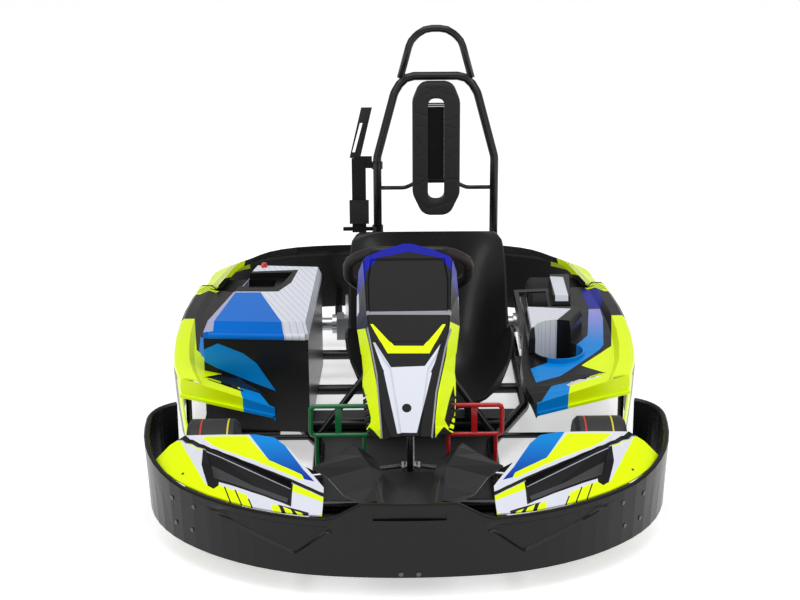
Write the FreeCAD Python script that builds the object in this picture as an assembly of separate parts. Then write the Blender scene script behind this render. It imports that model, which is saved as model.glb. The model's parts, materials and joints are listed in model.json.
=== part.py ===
import FreeCAD, Part
import math
import os

V = FreeCAD.Vector
os.makedirs("parts", exist_ok=True)

# ---------------------------------------------------------------------------
# Driving dimensions, millimetres.  +X is the kart's left, -Y its front, +Z up.
# ---------------------------------------------------------------------------
FRONT_Y = -945.0            # foremost point of the front bumper
REAR_Y = 945.0              # rearmost point of the rear bumper
FRONT_AXLE_Y = -467.0
REAR_AXLE_Y = 583.0
FIT_GAP = 0.3               # gap between neighbouring bodies and seated shells
RUN_GAP = 0.05              # radial clearance of a running fit

# wheels
FRONT_TYRE_R = 127.0
FRONT_TYRE_WIDTH = 130.0
FRONT_TRACK_HALF = 499.0
REAR_TYRE_R = 140.0
REAR_TYRE_WIDTH = 180.0
REAR_TRACK_HALF = 480.0
RIM_R = 63.5                # bead seat radius of a five inch rim
RIM_WALL = 4.0
RIM_FLANGE_R = RIM_R + 5.0
TYRE_SHOULDER = 10.0
SPINDLE_R = 10.0
FRONT_HUB_R = 24.0
REAR_AXLE_R = 20.0
REAR_HUB_R = 36.0
REAR_HUB_LENGTH = 70.0
RIM_DISC_HALF = 4.0
RIM_BOSS = 10.0

# tubular frame
FRAME_TUBE_R = 15.0
FRAME_Z = 74.0
RAIL_FRONT_X = 235.0
RAIL_REAR_X = REAR_TRACK_HALF - 135.0
FRAME_FRONT_Y = -760.0
FRAME_REAR_Y = 760.0
TRAY_THICK = 3.0
SUPPORT_Y = -590.0          # cross tube under the steering column's foot
TRAY_REAR_Y = 80.0
RAIL_BEND_Y = -200.0
RAIL_STRAIGHT_Y = 60.0
RAIL_BEND_R = 70.0
OUTRIGGER_Y = (-150.0, 300.0)
OUTRIGGER_R = 8.0
POST_INSET = 31.0           # outrigger posts stand in from the pods' ridges
SEAT_TUBE_Y = (-60.0, 200.0)
STUB_X = 200.0
STUB_RISE = 60.0
BOX_TRAY_X = -560.0

# steering
KINGPIN_X = 385.0
KINGPIN_R = 7.0
YOKE_HALF_HEIGHT = 36.0
YOKE_PLATE = 6.0
KNUCKLE_R = 14.0
ARM_LENGTH = 85.0
COLUMN_X = 10.0
COLUMN_R = 10.0
COLUMN_RAKE = 45.0          # degrees above the horizontal
WHEEL_Y = -143.0
WHEEL_Z = 554.0
WHEEL_HALF_WIDTH = 175.0
WHEEL_FLAT_TOP = 126.0
GRIP_R = 14.0
COLUMN_LENGTH = 585.0
PITMAN_LENGTH = 38.0
TIE_ROD_R = 6.0

# front bumper band
BAND_WALL = 14.0
BAND_BOTTOM_Z = 52.0
BAND_FLARE = 13.0
BAND_SETBACK = 20.0
BAND_SIDE_Z = 240.0
BAND_FRONT_Z = 196.0
NOSE_Z = 240.0
NOSE_HALF_WIDTH = 113.0
SKIN = 4.0                  # moulded plastic wall

# seat and roll hoop
SEAT_X = 72.0
SEAT_WALL = 8.0
HOOP_X = 102.0
HOOP_HALF = 174.0
HOOP_Y = 487.0
HOOP_TUBE_R = 12.5
HOOP_TOP_Z = 1098.0
HOOP_SHOULDER_Z = HOOP_TOP_Z - 153.0
HOOP_BEND_Z = HOOP_TOP_Z - 398.0
HEADREST_LOW_Z = HOOP_TOP_Z - 563.0
HEADREST_THICK = 42.0

# battery box
BOX_FRONT_Y = -150.0
BOX_REAR_Y = 365.0
BOX_TOP_Z = 400.0


# ---------------------------------------------------------------------------
# Helpers
# ---------------------------------------------------------------------------
def export(name, shape):
    shape.exportStep("parts/%s.step" % name)


def mirrored(shape):
    """The same shape on the other side of the kart's middle plane."""
    return shape.mirror(V(0, 0, 0), V(1, 0, 0))


def box(x0, x1, y0, y1, z0, z1):
    return Part.makeBox(x1 - x0, y1 - y0, z1 - z0, V(x0, y0, z0))


def rod(start, end, radius):
    start, end = V(*start), V(*end)
    return Part.makeCylinder(radius, (end - start).Length, start, end - start)


def ring(start, end, outer, inner):
    return rod(start, end, outer).cut(rod(start, end, inner))


def lathe_x(profile, x0, y0, z0):
    """Revolve (radius, x) points about an axis along X through (y0, z0)."""
    points = [V(x0 + x, y0, z0 + r) for r, x in profile]
    face = Part.Face(Part.makePolygon(points + points[:1]))
    return face.revolve(V(0, y0, z0), V(1, 0, 0), 360)


def path_points(points, bend, closed, steps):
    """Corner points of a bent bar: each bend is drawn as short straight runs."""
    pts = [V(*p) for p in points]
    count = len(pts)
    result = []
    for i in range(count):
        if not closed and i in (0, count - 1):
            result.append(pts[i])
            continue
        here, before, after = pts[i], pts[i - 1], pts[(i + 1) % count]
        a = (before - here).normalize()
        b = (after - here).normalize()
        half = a.getAngle(b) / 2.0
        reach = bend / math.tan(half)
        reach = min(reach, 0.48 * (before - here).Length, 0.48 * (after - here).Length)
        centre = here + (a + b).normalize() * (reach / math.cos(half))
        start, end = here + a * reach - centre, here + b * reach - centre
        turn = start.getAngle(end)
        for k in range(steps + 1):
            share = k / steps
            result.append(centre + start * (math.sin((1 - share) * turn) / math.sin(turn))
                          + end * (math.sin(share * turn) / math.sin(turn)))
    return result


def tube(points, radius, bend=60.0, closed=False, steps=2):
    """A round bar bent along a path; frame tubes are drawn as their outside."""
    pts = path_points(points, bend, closed, steps)
    if closed:
        middle = (pts[-1] + pts[0]) * 0.5
        pts = [middle] + pts + [middle]
    section = Part.Wire(Part.makeCircle(radius, pts[0], pts[1] - pts[0]))
    return Part.makePolygon(pts).makePipeShell([section], True, True, 1)


def path_wire(points, bend):
    """A closed outline with rounded corners."""
    pts = path_points(points, bend, True, 1)
    edges = []
    for i in range(0, len(pts), 2):
        here = V(*points[i // 2])
        chord = (pts[i] + pts[i + 1]) * 0.5
        a = (pts[i] - here).normalize()
        b = (pts[i + 1] - here).normalize()
        half = a.getAngle(b) / 2.0
        radius = (pts[i] - here).Length * math.tan(half)
        centre = here + (chord - here).normalize() * (radius / math.sin(half))
        middle = centre - (chord - here).normalize() * radius
        edges.append(Part.Arc(pts[i], middle, pts[i + 1]).toShape())
        edges.append(Part.makeLine(pts[i + 1], pts[(i + 2) % len(pts)]))
    return Part.Wire(edges)


def prism(points, vector):
    pts = [V(*p) for p in points]
    return Part.Face(Part.makePolygon(pts + pts[:1])).extrude(V(*vector))


def offset_line(points, distance):
    """A mitred 2-D offset of an open line, to its right-hand side."""
    result = []
    for i, (px, py) in enumerate(points):
        normals = []
        for j in (i - 1, i):
            if 0 <= j < len(points) - 1:
                dx = points[j + 1][0] - points[j][0]
                dy = points[j + 1][1] - points[j][1]
                size = math.hypot(dx, dy)
                normals.append((dy / size, -dx / size))
        nx = sum(n[0] for n in normals)
        ny = sum(n[1] for n in normals)
        size = math.hypot(nx, ny)
        nx, ny = nx / size, ny / size
        stretch = distance / (nx * normals[0][0] + ny * normals[0][1])
        result.append((px + nx * stretch, py + ny * stretch))
    return result


def smooth(rows, steps):
    """Softly curved rows of numbers between the given rows."""
    result = []
    for i in range(len(rows) - 1):
        around = (rows[max(i - 1, 0)], rows[i], rows[i + 1], rows[min(i + 2, len(rows) - 1)])
        for k in range(steps):
            t = k / steps
            result.append([b + 0.5 * t * (c - a + t * (2 * a - 5 * b + 4 * c - d + t * (3 * (b - c) + d - a)))
                           for a, b, c, d in zip(*around)])
    result.append(list(rows[-1]))
    return result


def faceted(loops, ends="flat"):
    """A solid through closed loops of equally many points, in flat facets.

    ends is "flat" for plane loops, "fan" for bulging ones and "strip" for the
    thin loops of a wall, whose second half runs back along the first.
    """
    faces = []

    def facet(a, b, c):
        if (b - a).cross(c - a).Length > 1e-4:
            faces.append(Part.Face(Part.makePolygon([a, b, c, a])))

    for near, far in zip(loops, loops[1:]):
        for i in range(len(near)):
            j = (i + 1) % len(near)
            facet(near[i], near[j], far[j])
            facet(near[i], far[j], far[i])
    for loop in (loops[0], loops[-1]):
        last = len(loop) - 1
        if ends == "flat":
            faces.append(Part.Face(Part.makePolygon(loop + loop[:1])))
        elif ends == "fan":
            for i in range(1, last):
                facet(loop[0], loop[i], loop[i + 1])
        else:
            for i in range(len(loop) // 2 - 1):
                facet(loop[i], loop[i + 1], loop[last - i])
                facet(loop[i + 1], loop[last - i - 1], loop[last - i])
    solid = Part.Solid(Part.Shell(faces))
    if solid.Volume < 0:
        solid.reverse()
    return solid


def skin(stations, wall, place):
    """A moulded wall through open profiles.

    stations is a list of (position, profile); place(position, (a, b)) puts a
    profile point in space.  The wall lies on the profile's right-hand side.
    """
    loops = []
    for position, profile in stations:
        profile = list(profile)
        loops.append([place(position, p) for p in profile + offset_line(profile, wall)[::-1]])
    return faceted(loops)


def at_y(y, p):
    return V(p[0], y, p[1])


def fuse(shapes):
    return shapes[0].multiFuse(shapes[1:]).removeSplitter() if len(shapes) > 1 else shapes[0]


# ---------------------------------------------------------------------------
# Wheels
# ---------------------------------------------------------------------------
def tyre(radius, width, x, y):
    """A slick tyre: flat sidewalls, bevelled shoulders and a flat tread."""
    h = width / 2.0
    side = [(RIM_FLANGE_R + FIT_GAP, -h), (radius - TYRE_SHOULDER, -h), (radius, -h + TYRE_SHOULDER)]
    return lathe_x(side + [(r, -s) for r, s in side[::-1]], x, y, radius)


def rim(radius_axle, hub_r, width, x, y, z):
    """A two-flange kart rim with a centre disc and a hub boss."""
    h = width / 2.0
    flange = RIM_FLANGE_R
    side = 1 if x > 0 else -1
    barrel = [
        (flange, -h), (flange, -h + RIM_WALL), (RIM_R, -h + RIM_WALL), (RIM_R, h - RIM_WALL),
        (flange, h - RIM_WALL), (flange, h), (RIM_R - RIM_WALL, h), (RIM_R - RIM_WALL, -h),
    ]
    body = lathe_x(barrel, x, y, z)
    t, b = RIM_DISC_HALF, RIM_BOSS
    disc = lathe_x([(r, s * side) for r, s in [
        (radius_axle, -t), (radius_axle, b), (hub_r, b), (hub_r, t), (RIM_R - 2, t),
        (RIM_R - 2, -t)]], x, y, z)
    return fuse([body, disc])


def front_wheel(sign):
    x = sign * FRONT_TRACK_HALF
    z = FRONT_TYRE_R
    bore = SPINDLE_R + RUN_GAP
    wheel = rim(FRONT_HUB_R - 4, FRONT_HUB_R, FRONT_TYRE_WIDTH, x, FRONT_AXLE_Y, z)
    inner = x - sign * 44
    outer = x + sign * 26
    hub = ring((inner, FRONT_AXLE_Y, z), (outer, FRONT_AXLE_Y, z), FRONT_HUB_R, bore)
    return fuse([wheel, hub]), tyre(FRONT_TYRE_R, FRONT_TYRE_WIDTH, x, FRONT_AXLE_Y)


def rear_wheel(sign):
    x = sign * REAR_TRACK_HALF
    z = REAR_TYRE_R
    wheel = rim(REAR_AXLE_R + FIT_GAP / 2, REAR_HUB_R, REAR_TYRE_WIDTH, x, REAR_AXLE_Y, z)
    return wheel, tyre(REAR_TYRE_R, REAR_TYRE_WIDTH, x, REAR_AXLE_Y)


NUT_LENGTH = 12.0
AXLE_HALF = REAR_TRACK_HALF + RIM_BOSS + FIT_GAP + NUT_LENGTH
BEARING_X = RAIL_REAR_X - 40
DISC_X = -170.0
DISC_R = 92.0
PULLEY_X = REAR_TRACK_HALF - 103.0   # the pulley turns between rail and tyre
PULLEY_R = 78.0
PULLEY_HALF = 11.0
MOTOR_PULLEY_R = 30.0
MOTOR_Y = 345.0
MOTOR_Z = 185.0
MOTOR_HALF = 70.0
MOTOR_TOP_Z = 250.0
MOTOR_OUTER_X = 540.0
BELT_THICK = 6.0


def rear_axle():
    y, z = REAR_AXLE_Y, REAR_TYRE_R
    shaft = rod((-AXLE_HALF, y, z), (AXLE_HALF, y, z), REAR_AXLE_R)
    hubs = []
    for sign in (-1, 1):
        face = sign * (REAR_TRACK_HALF - RIM_DISC_HALF - FIT_GAP)
        hubs.append(rod((face, y, z), (face - sign * REAR_HUB_LENGTH, y, z), REAR_HUB_R - 6))
        hubs.append(rod((sign * AXLE_HALF, y, z), (sign * (AXLE_HALF - NUT_LENGTH), y, z), REAR_AXLE_R + 8))
    carriers = [rod((DISC_X - 4, y, z), (DISC_X - 46, y, z), 30),
                rod((PULLEY_X - PULLEY_HALF, y, z), (PULLEY_X - PULLEY_HALF - 20, y, z), 30)]
    return fuse([shaft] + hubs + carriers)


def brake_disc():
    y, z = REAR_AXLE_Y, REAR_TYRE_R
    disc = ring((DISC_X - 3.8, y, z), (DISC_X + 3.8, y, z), DISC_R, REAR_AXLE_R)
    holes = [rod((DISC_X - 5, y + 66 * math.cos(a), z + 66 * math.sin(a)),
                 (DISC_X + 5, y + 66 * math.cos(a), z + 66 * math.sin(a)), 7)
             for a in [math.radians(60 * i) for i in range(6)]]
    return disc.cut(Part.makeCompound(holes))


def drive_pulley():
    y, z = REAR_AXLE_Y, REAR_TYRE_R
    profile = [(REAR_AXLE_R, -PULLEY_HALF), (PULLEY_R + 5, -PULLEY_HALF),
               (PULLEY_R + 5, -PULLEY_HALF + 3), (PULLEY_R, -PULLEY_HALF + 3),
               (PULLEY_R, PULLEY_HALF - 3), (PULLEY_R + 5, PULLEY_HALF - 3),
               (PULLEY_R + 5, PULLEY_HALF), (REAR_AXLE_R, PULLEY_HALF)]
    return lathe_x(profile, PULLEY_X, y, z)


# ---------------------------------------------------------------------------
# Frame
# ---------------------------------------------------------------------------
def band_inner_y(x, z):
    """Y of the bumper wall's inner face behind the sweep arc, at x and z."""
    centre, radius = band_nodes()[1][:2]
    share = (z - BAND_BOTTOM_Z) / (BAND_SIDE_Z - BAND_BOTTOM_Z)
    reach = radius + BAND_FLARE * share - BAND_WALL
    return centre.y + BAND_SETBACK * share - math.sqrt(reach ** 2 - (x - centre.x) ** 2)


def rails(radius):
    """The frame's main loop: both rails and the rear cross run in one bent tube."""
    z, fx, rx = FRAME_Z, RAIL_FRONT_X, RAIL_REAR_X
    nose_y = band_inner_y(fx + FRAME_TUBE_R, z) + FIT_GAP
    return tube([(fx, nose_y, z), (fx, RAIL_BEND_Y, z), (rx, RAIL_STRAIGHT_Y, z), (rx, FRAME_REAR_Y, z),
                 (-rx, FRAME_REAR_Y, z), (-rx, RAIL_STRAIGHT_Y, z), (-fx, RAIL_BEND_Y, z),
                 (-fx, nose_y, z)], radius, RAIL_BEND_R)


def rail_lengths():
    """The main loop as the lengths it is joined from, with a fine seam at each bend."""
    half = FRAME_TUBE_R + 1
    low, high = FRAME_Z - half, FRAME_Z + half
    straight = RAIL_BEND_R + 3 * FIT_GAP
    corner_y = FRAME_REAR_Y - straight
    corner_x = RAIL_REAR_X - straight
    seams = [box(-RAIL_REAR_X - half, RAIL_REAR_X + half, y, y + FIT_GAP, low, high)
             for y in (RAIL_BEND_Y, RAIL_STRAIGHT_Y, corner_y)]
    for sign in (-1, 1):
        x0, x1 = sorted((sign * corner_x, sign * (corner_x - FIT_GAP)))
        seams.append(box(x0, x1, FRAME_REAR_Y - half, FRAME_REAR_Y + half, low, high))
    return rails(FRAME_TUBE_R).cut(seams).Solids


def rail_x(y):
    return between([(RAIL_BEND_Y, RAIL_FRONT_X), (RAIL_STRAIGHT_Y, RAIL_REAR_X)], y)


def chassis_frame():
    """Main loop with the pods' outriggers, both trays and the rear stubs."""
    z, r = FRAME_Z, FRAME_TUBE_R
    pieces = rail_lengths()
    for sign in (-1, 1):
        for y in OUTRIGGER_Y:
            post = sign * (between(POD_RIDGE_X, y) - POST_INSET)
            top = between(POD_RIDGE_Z, y) - SKIN - 1.0
            pieces.append(tube([(sign * rail_x(y), y, z), (post, y, z), (post, y, top)], OUTRIGGER_R, 40))
        stub_z = z + STUB_RISE
        pieces.append(rod((sign * STUB_X, FRAME_REAR_Y, stub_z), (sign * STUB_X, REAR_Y - 26, stub_z), 10))
        pieces.append(rod((sign * STUB_X, FRAME_REAR_Y, z), (sign * STUB_X, FRAME_REAR_Y, stub_z + 8), 12))
    pieces.append(box(BOX_TRAY_X, -RAIL_REAR_X, BOX_FRONT_Y, BOX_REAR_Y, z, z + r))
    motor_reach = MOTOR_HALF + 10
    pieces.append(box(RAIL_REAR_X, MOTOR_OUTER_X + 5, MOTOR_Y - motor_reach, MOTOR_Y + motor_reach, z, z + r))
    return fuse(pieces)


def cross_tubes():
    """Five tubes across the frame, cut to the rails they meet."""
    z = FRAME_Z
    cutter = rails(FRAME_TUBE_R + FIT_GAP)
    tubes = [rod((-rail_x(y), y, z), (rail_x(y), y, z), FRAME_TUBE_R).cut(cutter)
             for y in (FRAME_FRONT_Y, SUPPORT_Y, *SEAT_TUBE_Y, HOOP_Y)]
    return Part.makeCompound(tubes)


def front_axle_beams():
    """Stub beams on both sides with their braces, yokes and kingpins."""
    cutter = rails(FRAME_TUBE_R + FIT_GAP)
    fx, z, y = RAIL_FRONT_X, FRAME_Z, FRONT_AXLE_Y
    beam_z = FRONT_TYRE_R
    beam_end = KINGPIN_X - 30
    sides = []
    for sign in (-1, 1):
        pieces = [tube([(sign * fx, y + 42, z), (sign * (fx + 60), y, beam_z), (sign * beam_end, y, beam_z)],
                       FRAME_TUBE_R, 40),
                  rod((sign * fx, y - 90, z), (sign * (fx + 80), y, beam_z), 11)]
        inner, outer = sorted((sign * (beam_end - 20), sign * (KINGPIN_X + 14)))
        for level in (-1, 1):
            near = beam_z + level * YOKE_HALF_HEIGHT
            z0, z1 = sorted((near, near + level * YOKE_PLATE))
            pieces.append(box(inner, outer, y - 18, y + 18, z0, z1))
        inner, outer = sorted((sign * (beam_end - 20), sign * (beam_end - 8)))
        pieces.append(box(inner, outer, y - 18, y + 18, beam_z - YOKE_HALF_HEIGHT, beam_z + YOKE_HALF_HEIGHT))
        reach = YOKE_HALF_HEIGHT + 2 * YOKE_PLATE
        foot, head = ((sign * KINGPIN_X, y, beam_z + end * reach) for end in (-1, 1))
        pieces.append(rod(foot, head, KINGPIN_R))
        sides.append(fuse(pieces).cut(cutter))
    return Part.makeCompound(sides)


def floor_tray():
    """The floor in two flat sheets that meet where the rails bend outwards."""
    top = FRAME_Z - FRAME_TUBE_R - FIT_GAP
    narrow, wide = RAIL_FRONT_X + 12, RAIL_REAR_X - 20
    seam = RAIL_BEND_Y + 10
    outlines = [
        [(-narrow, FRAME_FRONT_Y - 12), (narrow, FRAME_FRONT_Y - 12), (narrow, seam), (-narrow, seam)],
        [(-narrow, seam + FIT_GAP), (narrow, seam + FIT_GAP), (wide, TRAY_REAR_Y), (-wide, TRAY_REAR_Y)],
    ]
    return Part.makeCompound([
        prism([(x, y, top - TRAY_THICK) for x, y in outline], (0, 0, TRAY_THICK)) for outline in outlines])


def axle_hangers():
    y, z = REAR_AXLE_Y, REAR_TYRE_R
    pieces = []
    for sign in (-1, 1):
        x0, x1 = sorted((sign * (BEARING_X - 14), sign * (BEARING_X + 14)))
        foot = FRAME_Z - 5
        plate = prism([(x0, y - 70, foot), (x0, y - 34, z + 34), (x0, y + 34, z + 34),
                       (x0, y + 70, foot)], (x1 - x0, 0, 0))
        lug = box(min(sign * BEARING_X, sign * (RAIL_REAR_X - FRAME_TUBE_R - FIT_GAP)),
                  max(sign * BEARING_X, sign * (RAIL_REAR_X - FRAME_TUBE_R - FIT_GAP)),
                  y - 60, y + 60, foot, foot + 12)
        bore = rod((x0 - 1, y, z), (x1 + 1, y, z), REAR_AXLE_R + RUN_GAP)
        pieces.append(fuse([plate, lug]).cut(bore))
    return Part.makeCompound(pieces)


# ---------------------------------------------------------------------------
# Steering
# ---------------------------------------------------------------------------
RAKE = math.radians(COLUMN_RAKE)
COLUMN_DIR = V(0, math.cos(RAKE), math.sin(RAKE))
WHEEL_UP = V(0, -math.sin(RAKE), math.cos(RAKE))
WHEEL_CENTRE = V(COLUMN_X, WHEEL_Y, WHEEL_Z)


def on_column(distance, side=0.0, up=0.0):
    """A point at a distance along the column from the wheel's centre."""
    return WHEEL_CENTRE + COLUMN_DIR * distance + V(side, 0, 0) + WHEEL_UP * up


def steering_wheel():
    half, flat = WHEEL_HALF_WIDTH - GRIP_R, WHEEL_FLAT_TOP - GRIP_R
    shape = [(-half, -40), (-half, 62), (-half * 0.62, flat), (half * 0.62, flat),
             (half, 62), (half, -40), (half * 0.62, -half * 0.86), (-half * 0.62, -half * 0.86)]
    rim_path = [tuple(on_column(0, a, b)) for a, b in shape]
    grip = tube(rim_path, GRIP_R, 70, True)
    spokes = []
    for angle in (90, 210, 330):
        a = math.radians(angle)
        tip = on_column(0, half * math.cos(a), (flat if angle == 90 else half * 0.9) * math.sin(a))
        side = V(math.sin(a), 0, 0) * -1 + WHEEL_UP * math.cos(a)
        side.normalize()
        centre = on_column(0)
        pts = [centre + side * 22, tip + side * 14, tip - side * 14, centre - side * 22]
        face = Part.Face(Part.makePolygon(pts + pts[:1]))
        spokes.append(face.extrude(COLUMN_DIR * 6))
    disc = Part.makeCylinder(38, 6, on_column(0), COLUMN_DIR)
    return fuse([grip, disc] + spokes)


def steering_column():
    """Column with the wheel's hub at its head and the steering plate at its foot."""
    shaft = Part.makeCylinder(COLUMN_R, COLUMN_LENGTH - 10, on_column(-COLUMN_LENGTH), COLUMN_DIR)
    hub = Part.makeCone(20, 34, 26, on_column(-26 - FIT_GAP), COLUMN_DIR)
    seat = on_column(-COLUMN_LENGTH + 20)
    plate = []
    side = V(1, 0, 0)
    tip = seat - WHEEL_UP * PITMAN_LENGTH
    pts = [seat + side * 16, tip + side * 24, tip - side * 24, seat - side * 16]
    plate.append(Part.Face(Part.makePolygon(pts + pts[:1])).extrude(COLUMN_DIR * 6))
    plate.append(Part.makeCylinder(18, 6, seat, COLUMN_DIR))
    return fuse([shaft, hub] + plate)


PITMAN_TIP = on_column(-COLUMN_LENGTH + 20, 0, -PITMAN_LENGTH)
ARM_Y = FRONT_AXLE_Y - ARM_LENGTH
ARM_X = KINGPIN_X - 18
ARM_Z = FRONT_TYRE_R - 20


def knuckle(sign):
    x, y, z = sign * KINGPIN_X, FRONT_AXLE_Y, FRONT_TYRE_R
    half = YOKE_HALF_HEIGHT - FIT_GAP
    barrel = rod((x, y, z - half), (x, y, z + half), KNUCKLE_R)
    spindle = rod((x, y, z), (sign * (FRONT_TRACK_HALF + 34), y, z), SPINDLE_R)
    collar = rod((x, y, z), (sign * (FRONT_TRACK_HALF - 44 - 0.5), y, z), SPINDLE_R + 5)
    arm = tube([(x, y, ARM_Z), (sign * (KINGPIN_X - 6), y - 40, ARM_Z), (sign * ARM_X, ARM_Y, ARM_Z)], 8, 60)
    eye = rod((sign * ARM_X, ARM_Y, ARM_Z - 8), (sign * ARM_X, ARM_Y, ARM_Z + 8), 11)
    nut = rod((sign * (FRONT_TRACK_HALF + 26.5), y, z), (sign * (FRONT_TRACK_HALF + 38), y, z), 15)
    body = fuse([barrel, spindle, collar, arm, eye, nut])
    bore = rod((x, y, z - half - 1), (x, y, z + half + 1), KINGPIN_R + RUN_GAP)
    stud = rod((sign * ARM_X, ARM_Y, ARM_Z - 9), (sign * ARM_X, ARM_Y, ARM_Z + 9), 5)
    return body.cut(bore).cut(stud)


def tie_rod(sign):
    outer = V(sign * ARM_X, ARM_Y, ARM_Z + 18)
    inner = PITMAN_TIP + V(sign * 16, 0, 0) + COLUMN_DIR * 22
    bar = rod(tuple(outer), tuple(inner), TIE_ROD_R)
    eyes = [rod((outer.x, outer.y, ARM_Z + 8.5), (outer.x, outer.y, ARM_Z + 28), 11),
            rod((outer.x, outer.y, ARM_Z - 9), (outer.x, outer.y, ARM_Z + 20), 5 - RUN_GAP),
            Part.makeCylinder(10, 16, inner - COLUMN_DIR * 8, COLUMN_DIR)]
    return fuse([bar] + eyes)


# ---------------------------------------------------------------------------
# Front bodywork
# ---------------------------------------------------------------------------
NOSE_ARC = (8.2, 1400.0)
SWEEP_ARC = (47.0, 600.0)
CORNER_ARC = (90.0, 420.0)
CURL_ARC = (158.0, 95.0)


def band_nodes():
    """Centres and radii of the bumper's tangent plan arcs on the left side."""
    arcs = []
    angle, point = 0.0, V(0, FRONT_Y, 0)
    for end, radius in (NOSE_ARC, SWEEP_ARC, CORNER_ARC):
        a = math.radians(angle)
        centre = point + V(-radius * math.sin(a), radius * math.cos(a), 0)
        b = math.radians(end)
        arcs.append((centre, radius, angle, end))
        point = centre + V(radius * math.sin(b), -radius * math.cos(b), 0)
        angle = end
    straight = 40.0
    point = point + V(0, straight, 0)
    centre = point + V(-CURL_ARC[1], 0, 0)
    arcs.append((centre, CURL_ARC[1], 90.0, CURL_ARC[0]))
    return arcs


def band_path(start, end, turns):
    """Outline of the bumper's foot: plan points with their outward angle."""
    result = []
    for centre, radius, first, last in band_nodes():
        low, high = max(first, start), min(last, end)
        if high <= low:
            continue
        angles = [low + (high - low) * k / turns for k in range(turns + 1)]
        if radius == SWEEP_ARC[1]:
            edges = [math.degrees(math.asin((x - centre.x) / radius)) for x, z in RECESS_LINE]
            angles = sorted(angles + [e for e in edges if low < e < high])
        for angle in angles:
            a = math.radians(angle)
            point = centre + V(radius * math.sin(a), -radius * math.cos(a), 0)
            if not result or (result[-1][0] - point).Length > 1.0:
                result.append((point, a))
    return result


def between(table, value):
    """Straight-line reading of a table of (value, result) pairs."""
    if value <= table[0][0]:
        return table[0][1]
    for (v0, r0), (v1, r1) in zip(table, table[1:]):
        if value <= v1:
            return r0 + (r1 - r0) * (value - v0) / (v1 - v0)
    return table[-1][1]


BAND_TOP_FRONT = [(NOSE_HALF_WIDTH, NOSE_Z), (190, BAND_FRONT_Z), (553, BAND_FRONT_Z + 3)]
BAND_TOP_SIDE = [(-739, BAND_FRONT_Z + 3), (-440, BAND_SIDE_Z), (-275, BAND_SIDE_Z + 8)]
RECESS_LINE = [(193, 165), (271, 102), (480, 173)]      # lower edge of the sunk triangle
RECESS_DEPTH = 7.0
RECESS_BEVEL = 5.0
BAND_LIP = 22.0
BAND_ROUND = 4.0


def band_loop(point, angle, front):
    """The bumper wall's closed section at one place of its outline."""
    top = between(BAND_TOP_FRONT, point.x) if front else between(BAND_TOP_SIDE, point.y)
    sunk = front and RECESS_LINE[0][0] <= point.x <= RECESS_LINE[-1][0]
    crease = between(RECESS_LINE, point.x) if sunk else (RECESS_LINE[0][1] if point.x < 193 else 173)
    ledge = max(crease + RECESS_BEVEL + 1, top - BAND_LIP)
    depth = RECESS_DEPTH * min(1.0, (ledge - crease - RECESS_BEVEL) / 9.0) if sunk else 0.0
    section = [
        (0, BAND_BOTTOM_Z), (0, crease), (-depth, crease + RECESS_BEVEL), (-depth, ledge),
        (0, ledge + RECESS_BEVEL), (0, top - BAND_ROUND), (-BAND_ROUND, top),
        (BAND_ROUND - BAND_WALL, top), (-BAND_WALL, top - BAND_ROUND), (-BAND_WALL, BAND_BOTTOM_Z),
    ]
    outward = V(math.sin(angle), -math.cos(angle), 0)
    loop = []
    for offset, z in section:
        share = (z - BAND_BOTTOM_Z) / (BAND_SIDE_Z - BAND_BOTTOM_Z)
        loop.append(point + outward * (offset + BAND_FLARE * share) + V(0, BAND_SETBACK * share, z))
    return loop


SEAM_ANGLE = SWEEP_ARC[0]
SEAM_HALF_GAP = math.degrees(FIT_GAP / 2 / SWEEP_ARC[1])


def front_bumper():
    """Front blade of the wrap-round bumper, with sunk triangles and a slot."""
    left = [band_loop(p, a, True) for p, a in band_path(0, SEAM_ANGLE - SEAM_HALF_GAP, 9)]
    right = [[V(-q.x, q.y, q.z) for q in loop] for loop in left[1:]]
    blade = faceted(right[::-1] + left)
    slot = box(-87, 87, FRONT_Y - 10, FRONT_Y + 14, 198, 217)
    return blade.cut(slot)


def bumper_corner():
    """Corner of the wrap-round bumper, curled in behind the front wheel."""
    return faceted([band_loop(p, a, False) for p, a in band_path(SEAM_ANGLE + SEAM_HALF_GAP, 180, 7)])


def band_inside(angle, z, gap):
    """A point just inside the bumper wall, by plan angle from the front."""
    arcs = band_nodes()
    centre, radius = (arcs[1] if angle <= arcs[1][3] else arcs[2])[:2]
    share = (z - BAND_BOTTOM_Z) / (BAND_SIDE_Z - BAND_BOTTOM_Z)
    reach = radius + BAND_FLARE * share - BAND_WALL - gap
    a = math.radians(angle)
    return V(centre.x + reach * math.sin(a), centre.y + BAND_SETBACK * share - reach * math.cos(a), z)


WING_STATIONS = [
    # plan angle and z of the front edge, back edge x y z, crease x y z
    [70, 203, 560, -572, 264, 600, -572, 237],
    [58, 202, 500, -572, 265, 548, -640, 236],
    [46, 201, 430, -572, 265, 478, -700, 236],
    [32, 200, 334, -585, 262, 372, -770, 232],
    [20, 199, 262, -700, 244, 284, -832, 226],
    [9, 201, 205, -812, 228, 205, -872, 216],
]
HANDLE_OUTLINE = [(508, -608), (283, -785), (285, -866), (478, -735)]
HANDLE_FLOOR = (253, 216, 190, 204)      # floor height at each corner, above the steered tyre
HANDLE_BAR = [(487, -676), (289, -840), (291, -861), (474, -733)]
HANDLE_BAR_Z = 213.0
HANDLE_CUT_Z = 300.0        # the handle's cut ends above the wing
TRAY_LOW_Z = 175.0
WING_GAP = 1.2              # between the wing and the curved bumper wall


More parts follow.
